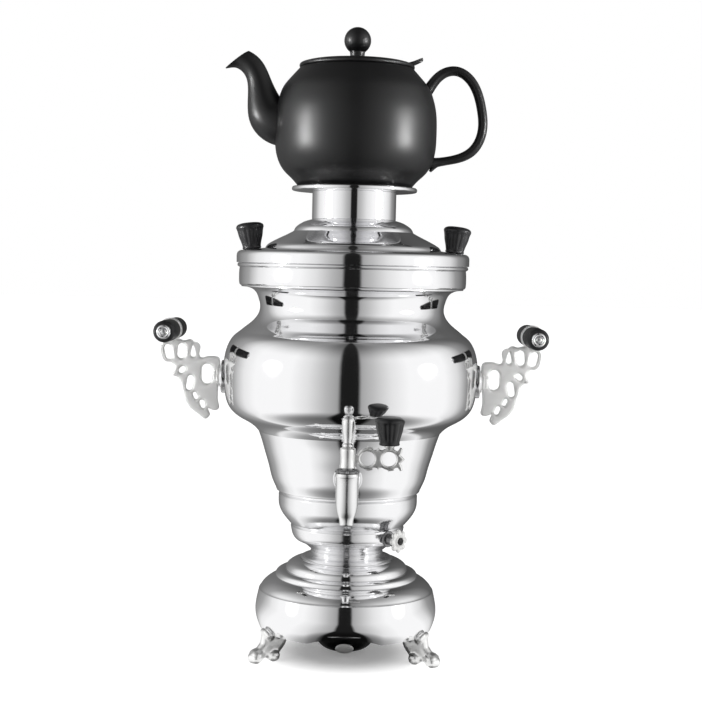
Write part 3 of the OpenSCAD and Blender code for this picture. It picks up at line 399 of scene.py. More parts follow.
def darkSolid(name, color, lighter, low, high, grainMm, depth, coat=0.0, coatRough=0.1, ior=1.5):
    # a dark moulded, glazed or enamelled solid: colour and gloss vary a little over a fine orange peel
    material, tree, bsdf = newMaterial(name, {"Base Color": linearColor(color), "Roughness": low, "IOR": ior,
                                              "Coat Weight": coat, "Coat Roughness": coatRough})
    spot = addNode(tree, "ShaderNodeTexCoord").outputs["Object"]
    patch = noiseNode(tree, spot, 35.0, 5.0)
    grain = noiseNode(tree, spot, 1 / (grainMm * mm), 2.0)
    colours = {"data_type": "RGBA", 6: linearColor(color), 7: linearColor(lighter)}
    tone = addNode(tree, "ShaderNodeMix", colours, {0: patch})
    tree.links.new(tone.outputs[2], bsdf.inputs["Base Color"])
    rough = rangeNode(tree, "LINEAR", patch, 0.3, 0.7, low, high)
    drive(tree, bsdf, rough, bumpNode(tree, grain, depth, 0.5))
    return material


steelMirror = polishedSteel("mirror polished stainless steel", "f1f1f2", 0.045, 0.085)
steelCalm = polishedSteel("buffed stainless steel", "f1f1f2", 0.11, 0.17, 1.3, 0.02)
steelSatin = polishedSteel("satin stainless steel", "d9d9da", 0.2, 0.32, 1.6, 0.03)
steelSoft = polishedSteel("turned brass under satin nickel", "ececec", 0.2, 0.3, 1.3, 0.02)
steelDusk = polishedSteel("unpolished turned brass under nickel", "8f8f90", 0.3, 0.42, 1.3, 0.03)
castBright = castMetal("bright plated casting", "f4f4f3", 0.3, 0.42, 1.1, 0.03)
castPale = castMetal("tumbled casting under pale plate", "fdfdfc", 0.6, 0.74, 1.1, 0.03)
ironCast = darkSolid("cast iron", "3a3836", "4a4542", 0.55, 0.8, 0.7, 0.15)
bakeliteBlack = darkSolid("moulded black bakelite", "141416", "1e1e20", 0.3, 0.4, 0.8, 0.02)
glazeBlack = darkSolid("black satin glaze", "040405", "070708", 0.38, 0.42, 1.5, 0.03, ior=1.45)
# the drain key's screw is coloured near-black as painted shade, deepening the real shade of the recess in the
# key's middle
screwPaintedShade = darkSolid("near-black screw, painted recess shade", "0c0c0e", "151518", 0.3, 0.4, 0.8, 0.02)
enamelBlack = darkSolid("black gloss enamel", "070708", "0c0c0d", 0.06, 0.12, 2.0, 0.02, 0.6, 0.05)
rubberDark = darkSolid("sealing rubber", "1c1c1c", "262626", 0.6, 0.8, 0.6, 0.05)
print("materials made")

# turned sheet-metal shells: paths are (radius, height above the piece's lower edge) in millimetres
sheetWall = 1.1
shells = {
    "baseShell": dict(node="base_shell", paths=[
        [(73.5, 0), (76.0, 6.6), (77.3, 13.5), (77.1, 19), (75.5, 27.7), (74.6, 31.6)],
        [(74.6, 31.6), (74.3, 32.3), (73.8, 32.7)],
        [(73.8, 32.7), (72.5, 34.9), (69.5, 38.3), (64.3, 41.9), (60.5, 43.5)],
        [(60.5, 43.5), (60.4, 45.6), (58.9, 47.6), (55.6, 48.8), (52, 49)],
        [(52, 49), (51.2, 52.2), (47.4, 55.8), (42.6, 57.8), (39.5, 58.4)]], last=(0, 1)),
    "coneShell": dict(node="cone_shell", paths=[
        [(59.9, 0), (60.9, 0.4), (61.3, 1.4)],
        [(61.3, 1.4), (62.4, 3.9), (64.8, 9.2), (67.8, 20), (71.7, 33), (74.7, 43), (77.4, 50.5)]]),
    "bulbShell": dict(node="bulb_shell", paths=[
        [(77.4, 0), (80, 2.9), (86.4, 7.8), (96, 13.3), (102.9, 20.4), (106.3, 30.2), (107.5, 44.2),
         (107, 64), (104.6, 72.2), (99.7, 80.1), (95.2, 83.8)],
        [(95.2, 83.8), (90, 88), (84.6, 92.4), (80.8, 96.7), (78.4, 101.7), (78, 105), (79.3, 112),
         (82.2, 117.9), (86.8, 120.8), (94, 121.9)]], last=(0, -1)),
}


def outerLine(s):
    low = bottomOf(s["node"])
    return raised(joinLines(s["paths"]), low)


def shellRadius(name, heights):
    line = np.array(outerLine(shells[name]))
    return np.interp(heights, line[:, 1], line[:, 0])


def layOnShell(obj, name, sideways, from_):
    # the back of a fitting is brought onto the shell it is soldered to: sideways is 0 for X and 1 for Y
    backs = [v for v in obj.data.vertices if abs(v.co[sideways]) < from_ * mm]
    for v, radius in zip(backs, shellRadius(name, [v.co.z / mm for v in backs])):
        across = v.co[1 - sideways] / mm
        reach = math.sqrt(radius ** 2 - across ** 2) - 0.15
        v.co[sideways] = math.copysign(reach * mm, v.co[sideways])


def makeShell(name, s):
    outer = outerLine(s)
    inside = insetLine(outer, s.get("wall", sheetWall), s.get("first", (1, 0)), s.get("last", (1, 0)))
    return revolve(name, outer + inside[::-1], 192)


def raiseArches(obj, z0, rise=5.5, halfWidth=31, reach=22, skirtR=74):
    # three shallow arches in the skirt's lower edge: the edge is lifted, fading out up the wall
    radius = (halfWidth ** 2 + rise ** 2) / (2 * rise)
    for v in obj.data.vertices:
        h = v.co.z / mm - z0
        if h > reach:
            continue
        turn = math.degrees(math.atan2(v.co.x, -v.co.y)) % 120
        turn = min(turn, 120 - turn)
        off = 2 * math.pi * skirtR * turn / 360
        if off < halfWidth:
            lift = rise - (radius - math.sqrt(radius ** 2 - off ** 2))
            v.co.z += lift * mm * (1 - h / reach)


for shellName, shellSet in shells.items():
    shell = makeShell(shellName, shellSet)
    if shellName == "baseShell":
        raiseArches(shell, bottomOf("base_shell"))
    dress(shell, steelMirror, "samovar", "polished_steel", shellSet["node"])

# the lip turns in and leaves a seam under the conical part
bowlSet = dict(floorIn=26.3, floorR=31,
               smallTier=[(31, 0), (33.4, 1.9), (37.6, 5.1), (43.9, 8.2), (46.7, 12.1), (47.7, 15.6),
                          (48.4, 19)],
               groove=[(48.4, 19), (48.2, 19.7), (47.4, 20.75), (48.6, 21.9), (49.4, 22.5)],
               largeTier=[(49.4, 22.5), (52.3, 25.9), (57, 32.6), (58.9, 37.9), (59.2, 43.5), (59.2, 46.6)],
               lip=[(59.2, 46.6), (58.6, 47.6), (57.9, 48.6), (57.8, 50)])


def makeBowl(s):
    floor = [(s["floorIn"], 0), (s["floorR"], 0)]
    tiers = [floor, s["smallTier"], s["groove"], s["largeTier"], s["lip"]]
    outer = raised(joinLines(tiers, 1.0), bottomOf("bowl_shell"))
    inside = insetLine(outer, sheetWall, (0, -1), (1, 0))
    return revolve("bowlShell", outer + inside[::-1], 160)


dress(makeBowl(bowlSet), steelCalm, "samovar", "polished_steel", "bowl_shell")

neckSet = dict(bore=20.5, footR=39.3, height=8.5, side=[
    [(39.5, 0.6), (38.3, 1.6), (33.5, 2.4), (30.2, 3.6), (29.4, 4.7)],
    [(29.4, 4.7), (30.6, 5.5), (30.9, 6.4), (29.9, 7.2)], [(29.9, 7.2), (30.3, 8.5)]])


def makeNeck(s):
    low = bottomOf("neck_collar")
    side = raised(joinLines(s["side"], 0.6), low)
    foot, top = [(s["bore"], low), (s["footR"], low)], [(s["bore"], low + s["height"])]
    return revolve("neckCollar", foot + side + top, 128)


dress(makeNeck(neckSet), steelCalm, "samovar", "polished_steel", "neck_collar")

bandSet = dict(side=[[(94.2, 0), (95.5, 0.9), (96, 2.6), (96.2, 7.6), (96.1, 12), (95.8, 15.2)],
                     [(95.8, 15.2), (96.2, 15.6), (97.2, 16.1), (97.7, 17.3), (97.2, 18.6), (96.5, 19.1)]],
               mouthR=93.5, floorT=1.7, throatR=86)


def makeBand(s):
    low = bottomOf("rim_band")
    side = raised(joinLines(s["side"], 0.6), low)
    floor = low + s["floorT"]
    mouth = [(s["mouthR"], side[-1][1]), (s["mouthR"], floor), (s["throatR"], floor)]
    return revolve("rimBand", [(s["throatR"], low)] + side + mouth, 192)


dress(makeBand(bandSet), steelMirror, "samovar", "polished_steel", "rim_band")

lidSet = dict(wall=1.2, rimIn=97.3, skirtR=93.1, skirtDrop=9, side=[
    [(98.4, 0), (98.5, 5.2), (98.2, 7.6), (96.6, 9.6), (93.5, 10.4)],
    [(93.5, 10.4), (74.5, 12.6)],
    [(74.5, 12.6), (73.4, 14.6), (71, 16.7), (67, 19), (61.5, 21.8), (55, 25), (50.6, 27.4)],
    [(50.6, 27.4), (49.4, 30.1), (46.2, 33), (41.6, 35.6), (36.5, 37.2)],
    [(36.5, 37.2), (30, 37.2)]])


def makeLid(s):
    rest = topOf("rim_band") + 0.1
    outer = raised(joinLines(s["side"], 1.0), rest)
    inside = insetLine(outer, s["wall"], (1, 0), (0, 1))
    skirt = [(s["skirtR"] - s["wall"], rest + s["wall"]), (s["skirtR"] - s["wall"], rest - s["skirtDrop"]),
             (s["skirtR"], rest - s["skirtDrop"]), (s["skirtR"], rest)]
    under = [q for q in inside[::-1] if q[1] > rest + s["wall"] + 0.3]
    return revolve("lidShell", outer + under + [(s["rimIn"], rest + s["wall"])] + skirt, 192)


dress(makeLid(lidSet), steelMirror, "lid", "polished_steel", "lid_shell")

standSet = dict(hole=23, plate=1.8, edge=[
    (51, 0), (52.6, 0.6), (53, 1.9), (52.6, 3.2), (51.7, 3.8), (50.7, 3.1), (50.2, 1.8)])


def makeStand(s):
    low = bottomOf("teapot_stand")
    edge = raised(smoothLine(s["edge"], 0.5), low)
    return revolve("teapotStand", [(s["hole"], low)] + edge + [(s["hole"], low + s["plate"])], 160)


dress(makeStand(standSet), steelMirror, "stand", "polished_steel", "teapot_stand")

collarSet = dict(radius=35.5, wall=1.2, roll=0.5)


def makeCollar(s):
    low, high = bottomOf("chimney_collar"), topOf("chimney_collar")
    r, c, t = s["radius"], s["roll"], s["wall"]
    return revolve("chimneyCollar", [(r - t, low), (r - c, low), (r, low + c), (r, high - c), (r - c, high),
                                     (r - t, high)], 160)


dress(makeCollar(collarSet), steelMirror, "stand", "polished_steel", "chimney_collar")
print("shells made")

# teapot
potSet = dict(wall=3.6, footR=46.2, side=[
    (47.2, 0.9), (49.3, 3.7), (53.5, 8.4), (59.4, 14), (64, 20.9), (67.4, 32.6), (68.2, 46.5), (68.1, 58),
    (67, 68.4), (64.5, 78), (61.6, 85), (57, 91), (52.2, 96.4), (47.8, 101.2)])


def makePot(s):
    low = bottomOf("teapot_body")
    floor = low + s["wall"]
    side = [(s["footR"], low)] + raised(smoothLine(s["side"], 1.2), low)
    inside = insetLine(side, s["wall"], (0, -1), (1, 0))
    inside = [(s["footR"] - s["wall"], floor)] + [q for q in inside[1:] if q[1] > floor + 1.2]
    loop = [(0, low)] + side + [(inside[-1][0], side[-1][1])] + inside[::-1][1:] + [(0, floor)]
    return revolve("potBody", loop, 160)


def sweepTube(name, line, sides, flat=1.0, capEnds=True, step=1.4):
    # a bent tube in the XZ plane along (x, z, radius), flat is its width in Y over its thickness
    low = bottomOf("teapot_body")
    path = np.array(smoothLine(line, step), float)
    way = np.gradient(path[:, :2], axis=0)
    way /= np.linalg.norm(way, axis=1)[:, None]
    verts, faces = [], []
    for (x, z, r), (dx, dz) in zip(path, way):
        for k in range(sides):
            a = 2 * math.pi * k / sides
            verts.append(((x - dz * r * math.cos(a)) * mm, r * flat * math.sin(a) * mm,
                          (z + low + dx * r * math.cos(a)) * mm))
    for i in range(len(path) - 1):
        for k in range(sides):
            n = (k + 1) % sides
            faces.append((i * sides + k, i * sides + n, (i + 1) * sides + n, (i + 1) * sides + k))
    if capEnds:
        faces.append(tuple(range(sides))[::-1])
        faces.append(tuple(range((len(path) - 1) * sides, len(path) * sides)))
    built = meshObject(name, verts, faces, 50)
    faceOutwards(built)
    return built


spoutSet = dict(wall=2.4, cutPoint=(-102, 106.3), cutLean=37, line=[
    (-48, 52, 20.5), (-56, 54, 20), (-66, 56, 19.5), (-73, 61, 18), (-77, 69, 15.3), (-79.5, 78, 12.6),
    (-81.5, 86, 10.6), (-84, 94, 9.5), (-88, 101, 9.2), (-94, 106, 8.8), (-101, 108.4, 8.3),
    (-112, 107.6, 8.3)])
handleSet = dict(flat=1.3, line=[
    (56, 79, 5.6), (60, 84.5, 4.8), (66, 93, 4.3), (74, 99.5, 4.1), (84, 101, 4), (94, 95.5, 4),
    (101.5, 84, 4), (105.5, 70, 4), (107, 56, 4), (104.5, 43.5, 4), (98, 34, 4), (89, 28.8, 3.8),
    (78, 26, 3.6), (70, 24.6, 3.9), (62, 23.6, 4.8), (56, 23.2, 5.6)],
    spur=[(72, 25, 3.4), (68, 22.8, 3), (65.4, 19.6, 2.1), (63.4, 16.6, 1.1)])


def makeSpout(s):
    low = bottomOf("teapot_body")
    outer = sweepTube("spoutOuter", s["line"], 48, capEnds=False)
    bore = sweepTube("spoutBore", [(x, z, r - s["wall"]) for x, z, r in s["line"]], 48, capEnds=False)
    lean = math.radians(s["cutLean"])
    spot = Vector((s["cutPoint"][0] * mm, 0, (s["cutPoint"][1] + low) * mm))
    normal = Vector((-math.sin(lean), 0, math.cos(lean)))
    bm = bmesh.new()
    for part in (outer, bore):
        bm.from_mesh(part.data)
        bpy.data.objects.remove(part)
    # the tip is cut off at a slant, and the outside and the bore are joined along the cut
    everything = bm.verts[:] + bm.edges[:] + bm.faces[:]
    bmesh.ops.bisect_plane(bm, geom=everything, plane_co=spot, plane_no=normal, clear_outer=True)

    def onCut(edge):
        return edge.is_boundary and all(abs((v.co - spot).dot(normal)) < 1e-6 for v in edge.verts)
    bmesh.ops.bridge_loops(bm, edges=[e for e in bm.edges if onCut(e)])
    bmesh.ops.recalc_face_normals(bm, faces=bm.faces)
    built = fromBmesh("spout", bm)
    smoothShade(built, 50)
    return built


pot = joined("teapotBody", [makePot(potSet), makeSpout(spoutSet),
                            sweepTube("handle", handleSet["line"], 32, handleSet["flat"]),
                            sweepTube("handleSpur", handleSet["spur"], 24, handleSet["flat"], step=0.7)])
dress(pot, glazeBlack, "teapot", "black_glaze", "teapot_body")

potLidSet = dict(mouth=47.8, plug=43.8, plugDrop=7, ballR=11.3, crown=6.4, neck=7.2, ballLift=0.88,
                 tabStart=42.6, tabRise=4, tabLean=-13, tabLong=19, tabShift=4, tabTip=9, tabRoot=13,
                 tabThick=3)


def makePotLid(s):
    low = bottomOf("teapot_lid") + s["plugDrop"]
    foot = low + s["crown"]
    ball = foot + s["neck"] + s["ballR"] * s["ballLift"]
    edge = smoothLine([(s["mouth"] - 0.7, low), (s["mouth"] + 0.4, low + 0.5), (s["mouth"] + 0.75, low + 1.7),
                       (s["mouth"] + 0.3, low + 3.1), (s["mouth"] - 0.9, low + 3.8)], 0.4)
    crown = smoothLine([(s["mouth"] - 0.9, low + 3.8), (43, low + 4.9), (33, low + 5.7), (22, low + 6.1),
                        (11, foot + 0.1)], 1.0)
    neck = smoothLine([(11, foot + 0.1), (8.2, foot + 0.6), (6.5, foot + 2.4), (6.1, foot + 4.6),
                       (6.4, ball - s["ballR"] * 0.82)], 0.5)
    start = math.asin(-0.8)
    knob = [(s["ballR"] * math.cos(a), ball + s["ballR"] * math.sin(a))
            for a in np.linspace(start, math.pi / 2, 30)]
    knob[-1] = (0, knob[-1][1])
    plug = [(0, low + 2), (s["plug"] - 3, low + 2), (s["plug"] - 3, low - s["plugDrop"]),
            (s["plug"], low - s["plugDrop"]), (s["plug"], low)]
    return revolve("potLidDome", plug + edge + crown[1:] + neck[1:] + knob, 144)


def makeThumbTab(s):
    # a small tongue for the thumb, rising towards the handle
    low = bottomOf("teapot_lid") + s["plugDrop"]
    bm = bmesh.new()
    bmesh.ops.create_cube(bm, size=1)
    for v in bm.verts:
        wide = s["tabTip"] if v.co.x > 0 else s["tabRoot"]
        v.co = Vector((v.co.x * s["tabLong"] + s["tabShift"], v.co.y * wide, v.co.z * s["tabThick"]))
    bmesh.ops.subdivide_edges(bm, edges=bm.edges[:], cuts=3, use_grid_fill=True)
    tipX = max(v.co.x for v in bm.verts)
    for v in bm.verts:
        reach = max(0, (v.co.x - tipX + 6) / 6)
        v.co.y *= math.sqrt(max(0.05, 1 - (reach * 0.9) ** 2))
        v.co.z += 0.012 * v.co.x ** 2
    tab = fromBmesh("tab", bm)
    round_ = tab.modifiers.new("round", "SUBSURF")
    round_.levels = round_.render_levels = 2
    tab = asMesh(tab, "thumbTab")
    spot = Matrix.Translation((s["tabStart"] * mm, 0, (low + s["tabRise"]) * mm))
    turn = spot @ Matrix.Rotation(math.radians(s["tabLean"]), 4, "Y")
    place(tab, turn @ Matrix.Scale(mm, 4))
    return tab


potLid = joined("teapotLid", [makePotLid(potLidSet), makeThumbTab(potLidSet)])
dress(potLid, glazeBlack, "teapot_lid", "black_glaze", "teapot_lid")
print("teapot made")

# ash pan: pressed and enamelled, with a turned pull at the front
panSet = dict(wall=1.4, rim=31, pullReach=22.6, pullRise=1.2, pullLean=6, pullFlat=0.55,
              side=[(0, -5.2), (10, -4.9), (17, -3.2), (21.6, 0), (24.8, 5), (26.1, 12), (26.4, 18),
                    (26.4, 24.9)],
              pull=[(0, -3), (1.8, -3), (1.8, 0.4), (5, 0.5), (7.4, 0.9), (7.8, 1.5), (7, 2), (4, 2.4),
                    (0, 2.5)])


def makeAshPan(s):
    low = bottomOf("ash_pan")
    side = raised(smoothLine(s["side"], 1.0), low)
    inside = insetLine(side, s["wall"], (0, -1), (1, 0))
    top = topOf("ash_pan")
    inside[0] = (0, side[0][1] + s["wall"])
    rim = [(s["rim"] - 0.4, top - s["wall"]), (s["rim"], top - s["wall"] / 2), (s["rim"] - 0.4, top)]
    return revolve("ashPan", side + rim + [(inside[-1][0], top)] + inside[::-1][1:], 96)


def makePull(s):
    spot = Vector((0, -s["pullReach"], bottomOf("ash_pan") + s["pullRise"]))
    pull = revolve("ashPull", smoothLine(s["pull"][:2], 1) + smoothLine(s["pull"][2:], 0.4), 48)
    flat = Matrix.Scale(s["pullFlat"], 4, (0, 0, 1))
    return place(pull, standing(*spot) @ flat @ Matrix.Rotation(math.radians(90 + s["pullLean"]), 4, "X"))


# Geometry Nodes trees


def newTree(name, sizes):
    # a Geometry Nodes tree with named inputs and a material; a size with a whole number is a count
    tree = bpy.data.node_groups.new(name, "GeometryNodeTree")
    tree.interface.new_socket("Geometry", in_out="INPUT", socket_type="NodeSocketGeometry")
    for label, value in sizes.items():
        kind = "NodeSocketInt" if isinstance(value, int) else "NodeSocketFloat"
        tree.interface.new_socket(label, in_out="INPUT", socket_type=kind).default_value = value
    tree.interface.new_socket("Finish", in_out="INPUT", socket_type="NodeSocketMaterial")
    tree.interface.new_socket("Geometry", in_out="OUTPUT", socket_type="NodeSocketGeometry")
    return tree, addNode(tree, "NodeGroupInput"), addNode(tree, "NodeGroupOutput")


def grown(obj, tree, material, values, name):
    # the tree's result on obj as a plain mesh
    modifier = obj.modifiers.new("grow", "NODES")
    modifier.node_group = tree
    for item in tree.interface.items_tree:
        if item.in_out == "INPUT" and item.name in values:
            modifier[item.identifier] = values[item.name]
        elif item.in_out == "INPUT" and item.name == "Finish":
            modifier[item.identifier] = material
    return asMesh(obj, name)


def finished(tree, geometry, start, end):
    real = addNode(tree, "GeometryNodeRealizeInstances", links={0: geometry})
    done = addNode(tree, "GeometryNodeSetMaterial", links={0: real, "Material": start.outputs["Finish"]})
    tree.links.new(done.outputs[0], end.inputs[0])


def screwTree():
    # slotted round-head screws: one on each point, turned along the point's own "way"
    tree, start, end = newTree("slottedScrews", {
        "Head radius": 0.0023, "Head height": 0.0011, "Slot width": 0.0007, "Slot turn": 0.5})
    ball = addNode(tree, "GeometryNodeMeshUVSphere", {"Segments": 32, "Rings": 16, "Radius": 1.0})
    radius, height = start.outputs["Head radius"], start.outputs["Head height"]
    size = vectorNode(tree, radius, radius, height)
    dome = addNode(tree, "GeometryNodeTransform", links={0: ball, "Scale": size})
    long_ = mathNode(tree, "MULTIPLY", radius, 3.0)
    deep = mathNode(tree, "MULTIPLY", height, 1.1)
    slot = vectorNode(tree, long_, start.outputs["Slot width"], deep)
    bar = addNode(tree, "GeometryNodeMeshCube", links={"Size": slot})
    lift = vectorNode(tree, 0.0, 0.0, height)
    slotBar = addNode(tree, "GeometryNodeTransform", links={0: bar, "Translation": lift})
    cut = addNode(tree, "GeometryNodeMeshBoolean", {"operation": "DIFFERENCE"},
                  {"Mesh 1": dome, "Mesh 2": slotBar})
    way = addNode(tree, "GeometryNodeInputNamedAttribute", {"data_type": "FLOAT_VECTOR", "Name": "way"})
    along = addNode(tree, "FunctionNodeAlignRotationToVector", {"axis": "Z"}, {"Vector": way})
    spin = vectorNode(tree, 0.0, 0.0, start.outputs["Slot turn"])
    turned = addNode(tree, "FunctionNodeRotateRotation", {"rotation_space": "LOCAL"},
                     {0: along, 1: spin})
    many = addNode(tree, "GeometryNodeInstanceOnPoints", links={"Points": start.outputs["Geometry"],
                                                                "Instance": cut,
                                                                "Rotation": turned})
    finished(tree, many.outputs[0], start, end)
    return tree


def petalTree():
    # a flower-shaped finger grip: round petals in a ring about a disc, in the XY plane
    tree, start, end = newTree("petals", {
        "Petals": 8, "Ring radius": 0.0072, "Petal radius": 0.0025, "Thickness": 0.003})
    ring = addNode(tree, "GeometryNodeMeshCircle", links={"Vertices": start.outputs["Petals"],
                                                          "Radius": start.outputs["Ring radius"]})
    ball = addNode(tree, "GeometryNodeMeshUVSphere", {"Segments": 24, "Rings": 16, "Radius": 1.0})
    half = mathNode(tree, "MULTIPLY", start.outputs["Thickness"], 0.5)
    radius = start.outputs["Petal radius"]
    size = vectorNode(tree, radius, radius, half)
    petals = addNode(tree, "GeometryNodeInstanceOnPoints", links={"Points": ring,
                                                                  "Instance": ball,
                                                                  "Scale": size})
    both = addNode(tree, "GeometryNodeJoinGeometry")
    tree.links.new(petals.outputs[0], both.inputs[0])
    tree.links.new(start.outputs["Geometry"], both.inputs[0])
    finished(tree, both.outputs[0], start, end)
    return tree


def fluteTree():
    # shallow upright flutes round a turned knob, fading out at its foot and its head
    tree, start, end = newTree("flutes", {"Flutes": 12.0, "Depth": 0.0006, "Low": 0.002, "High": 0.018})
    spot = addNode(tree, "GeometryNodeInputPosition")
    part = addNode(tree, "ShaderNodeSeparateXYZ", links={0: spot})
    turn = mathNode(tree, "ARCTAN2", part.outputs[1], part.outputs[0])
    wave = mathNode(tree, "MULTIPLY", turn, start.outputs["Flutes"])
    swing = mathNode(tree, "COSINE", wave)
    cup = addNode(tree, "ShaderNodeMapRange", {1: -1.0, 2: 1.0, 3: 1.0, 4: 0.0}, {0: swing})
    sharp = mathNode(tree, "POWER", cup, 1.6)
    rise = mathNode(tree, "ADD", start.outputs["Low"], 0.003)
    fall = mathNode(tree, "SUBTRACT", start.outputs["High"], 0.003)
    up = addNode(tree, "ShaderNodeMapRange", {"interpolation_type": "SMOOTHSTEP"},
                 {0: part.outputs[2], 1: start.outputs["Low"], 2: rise})
    down = addNode(tree, "ShaderNodeMapRange", {"interpolation_type": "SMOOTHSTEP", 3: 1.0, 4: 0.0},
                   {0: part.outputs[2], 1: fall, 2: start.outputs["High"]})
    here = mathNode(tree, "MULTIPLY", up, down)
    much = mathNode(tree, "MULTIPLY", here, sharp)
    deep = mathNode(tree, "MULTIPLY", much, start.outputs["Depth"])
    flat = addNode(tree, "ShaderNodeCombineXYZ", links={0: part.outputs[0], 1: part.outputs[1]})
    outward = addNode(tree, "ShaderNodeVectorMath", {"operation": "NORMALIZE"}, {0: flat})
    back = mathNode(tree, "MULTIPLY", deep, -1.0)
    step = addNode(tree, "ShaderNodeVectorMath", {"operation": "SCALE"}, {0: outward,
                                                                         "Scale": back})
    moved = addNode(tree, "GeometryNodeSetPosition", links={0: start.outputs["Geometry"],
                                                            "Offset": step})
    finished(tree, moved.outputs[0], start, end)
    return tree


screws, petals, flutes = screwTree(), petalTree(), fluteTree()


def screwHeads(name, spots, radius, height, slotTurn=0.5):
    # spots are (place, direction) pairs in metres
    mesh = bpy.data.meshes.new(name)
    mesh.from_pydata([s[0] for s in spots], [], [])
    way = mesh.attributes.new("way", "FLOAT_VECTOR", "POINT")
    way.data.foreach_set("vector", [c for s in spots for c in s[1]])
    sizes = {"Head radius": radius * mm, "Head height": height * mm, "Slot width": radius * 0.3 * mm,
             "Slot turn": slotTurn}
    heads = grown(newObject(name, mesh), screws, steelSatin, sizes, name)
    smoothShade(heads, 40)
    return heads


def standing(x, y, z):
    return Matrix.Translation((x * mm, y * mm, z * mm))


def lying(x, y, z, axis, degrees):
    # places a piece turned on the Z axis so that it lies along another axis
    return standing(x, y, z) @ Matrix.Rotation(math.radians(degrees), 4, axis)


dress(makeAshPan(panSet), enamelBlack, "samovar", "black_enamel", "ash_pan")
dress(makePull(panSet), castPale, "samovar", "polished_steel")

# feet: cast paws that grip the skirt's edge
footSet = dict(voxel=0.6, smoothing=7, angles=dict(foot_left=-60, foot_right=60, foot_rear=180), chains=[
    [(60, -4, 25.6, 4.2), (60, 4, 25.6, 4.2)], [(66, -5, 24, 4), (66, 5, 24, 4)],
    [(60, 0, 25, 4.6), (71, 0, 22.5, 4.6)],
    [(75.6, -5, 23, 2.8), (76.8, -2.4, 24.8, 2.9), (76.8, 2.4, 24.8, 2.9), (75.6, 5, 23, 2.8)],
    [(74, -3.6, 22, 3.8), (74, 3.6, 22, 3.8)],
    [(74, 0, 22, 4.8), (72.2, 0, 18.4, 4.8), (73.2, 0, 14.6, 4.7), (77, 0, 10.8, 4.8), (80.6, 0, 8, 5.2)],
    [(63, 0, 22, 4.6), (66, 0, 17.6, 4.4), (70, 0, 13, 4.6), (75, 0, 8.6, 4.8)],
    [(69.8, -2.8, 5, 5.6), (69.8, 2.8, 5, 5.6)], [(70, 0, 12, 5), (70.2, 0, 6, 5.4)],
    [(80, 0, 7.8, 5.2), (84.4, -1.6, 5.2, 6)], [(80, 0, 7.8, 5.2), (84.4, 1.6, 5.2, 6)],
    [(86, -3.4, 3.6, 4.4), (87.4, 0, 3.8, 4.8), (86, 3.4, 3.6, 4.4)]],
    web=[((58.5, 0, 23.4, 4.4), (62.5, 0, 15, 4.8), (69.4, 0, 7.4, 5.2)),
         ((75, 0, 21.6, 4.8), (76, 0, 13.5, 5.2), (80.4, 0, 8, 5.2))], webCount=10)


def makeFeet(s):
    inner, outer = (np.array(line) for line in s["web"])
    web = [list(inner + (outer - inner) * share) for share in np.linspace(0, 1, s["webCount"])]
    paw = solidOfBalls("paw", s["chains"] + web, s["voxel"], s["smoothing"])
    for v in paw.data.vertices:
        v.co.z = max(v.co.z, 0)
    for node, angle in s["angles"].items():
        foot = newObject("foot" + node.split("_")[1].title(), paw.data.copy())
        place(foot, Matrix.Rotation(math.radians(angle - 90), 4, "Z") @ Matrix.Scale(mm, 4))
        dress(foot, castBright, "samovar", "cast_metal", node)
    bpy.data.objects.remove(paw)


makeFeet(footSet)
print("feet made")

# tap
tapAxis = -122.0
tapSet = dict(rise=19, bore=6.45, outletBore=3.6, seatR=8.7, shankR=7.6, scallops=8,
              side=[(5.6, 1.6), (5.7, 4), (7, 8), (8.3, 12.4), (8.9, 17.5), (9, 24), (9, 34)])


def makeTapBody(s):
    low, top = bottomOf("tap_body"), topOf("tap_body")
    zTap = bottomOf("cone_shell") + s["rise"]
    side = [(r, low + z) for r, z in smoothLine(s["side"], 0.8)]
    lip = smoothLine([(4.4, low), (5.3, low + 0.25), (5.6, low + 0.9), (5.6, low + 1.6)], 0.3)
    rim = smoothLine([(9, top - 3.4), (9.4, top - 2.4), (9.5, top - 1.2), (9.2, top)], 0.4)
    step = zTap - 12
    bore = [(s["bore"], top), (s["bore"], step), (s["outletBore"], step), (s["outletBore"], low + 0.3)]
    barrel = revolve("tapBarrel", lip + side[1:-1] + rim + bore, 96)
    place(barrel, standing(0, tapAxis, 0))
    # the shank lies along Y, from inside the cone to the barrel, with two turned rings on it
    start, far = 60.0, -tapAxis - 4
    r = s["shankR"]
    ringAt = [shellRadius("coneShell", zTap) + 9, far - 12]
    line = [(0, start), (r, start)]
    for spot in ringAt:
        line += smoothLine([(r, spot - 1.9), (r + 0.9, spot - 1.4), (r + 1.3, spot), (r + 0.9, spot + 1.4),
                            (r, spot + 1.9)], 0.4)
    line += [(r, far), (0, far)]
    shank = revolve("tapShank", line, 80)
    place(shank, lying(0, 0, zTap, "X", 90))
    for v in shank.data.vertices:
        if v.co.y < -(far - 0.5) * mm:
            v.co.y = (tapAxis + math.sqrt(max(0, s["seatR"] ** 2 - (v.co.x / mm) ** 2))) * mm
    return joined("tapBody", [barrel, shank])


def scallopedRing(name, outline, scallops, depth, segments=144):
    # a turned ring whose rim is cut by upright scallops
    ring = revolve(name, outline, segments)
    widest = max(q[0] for q in outline)
    for v in ring.data.vertices:
        far = math.hypot(v.co.x, v.co.y) / mm
        share = max(0, 1 - (widest - far) / 2.2)
        cut = depth * share * max(0, math.cos(scallops * math.atan2(v.co.y, v.co.x))) ** 3
        scale = (far - cut) / far if far > 1e-6 else 1
        v.co.x *= scale
        v.co.y *= scale
    return ring


def makeTapCap(s):
    low, top = bottomOf("tap_cap"), topOf("tap_cap")
    outline = [(4.7, low), (8.8, low)] + smoothLine([(9.3, low + 0.2), (9.7, low + 0.8), (9.6, low + 1.7),
                                                     (8.9, low + 2.5), (7.4, top)], 0.3) + [(4.7, top)]
    return place(scallopedRing("tapCap", outline, s["scallops"], 1.1), standing(0, tapAxis, 0))


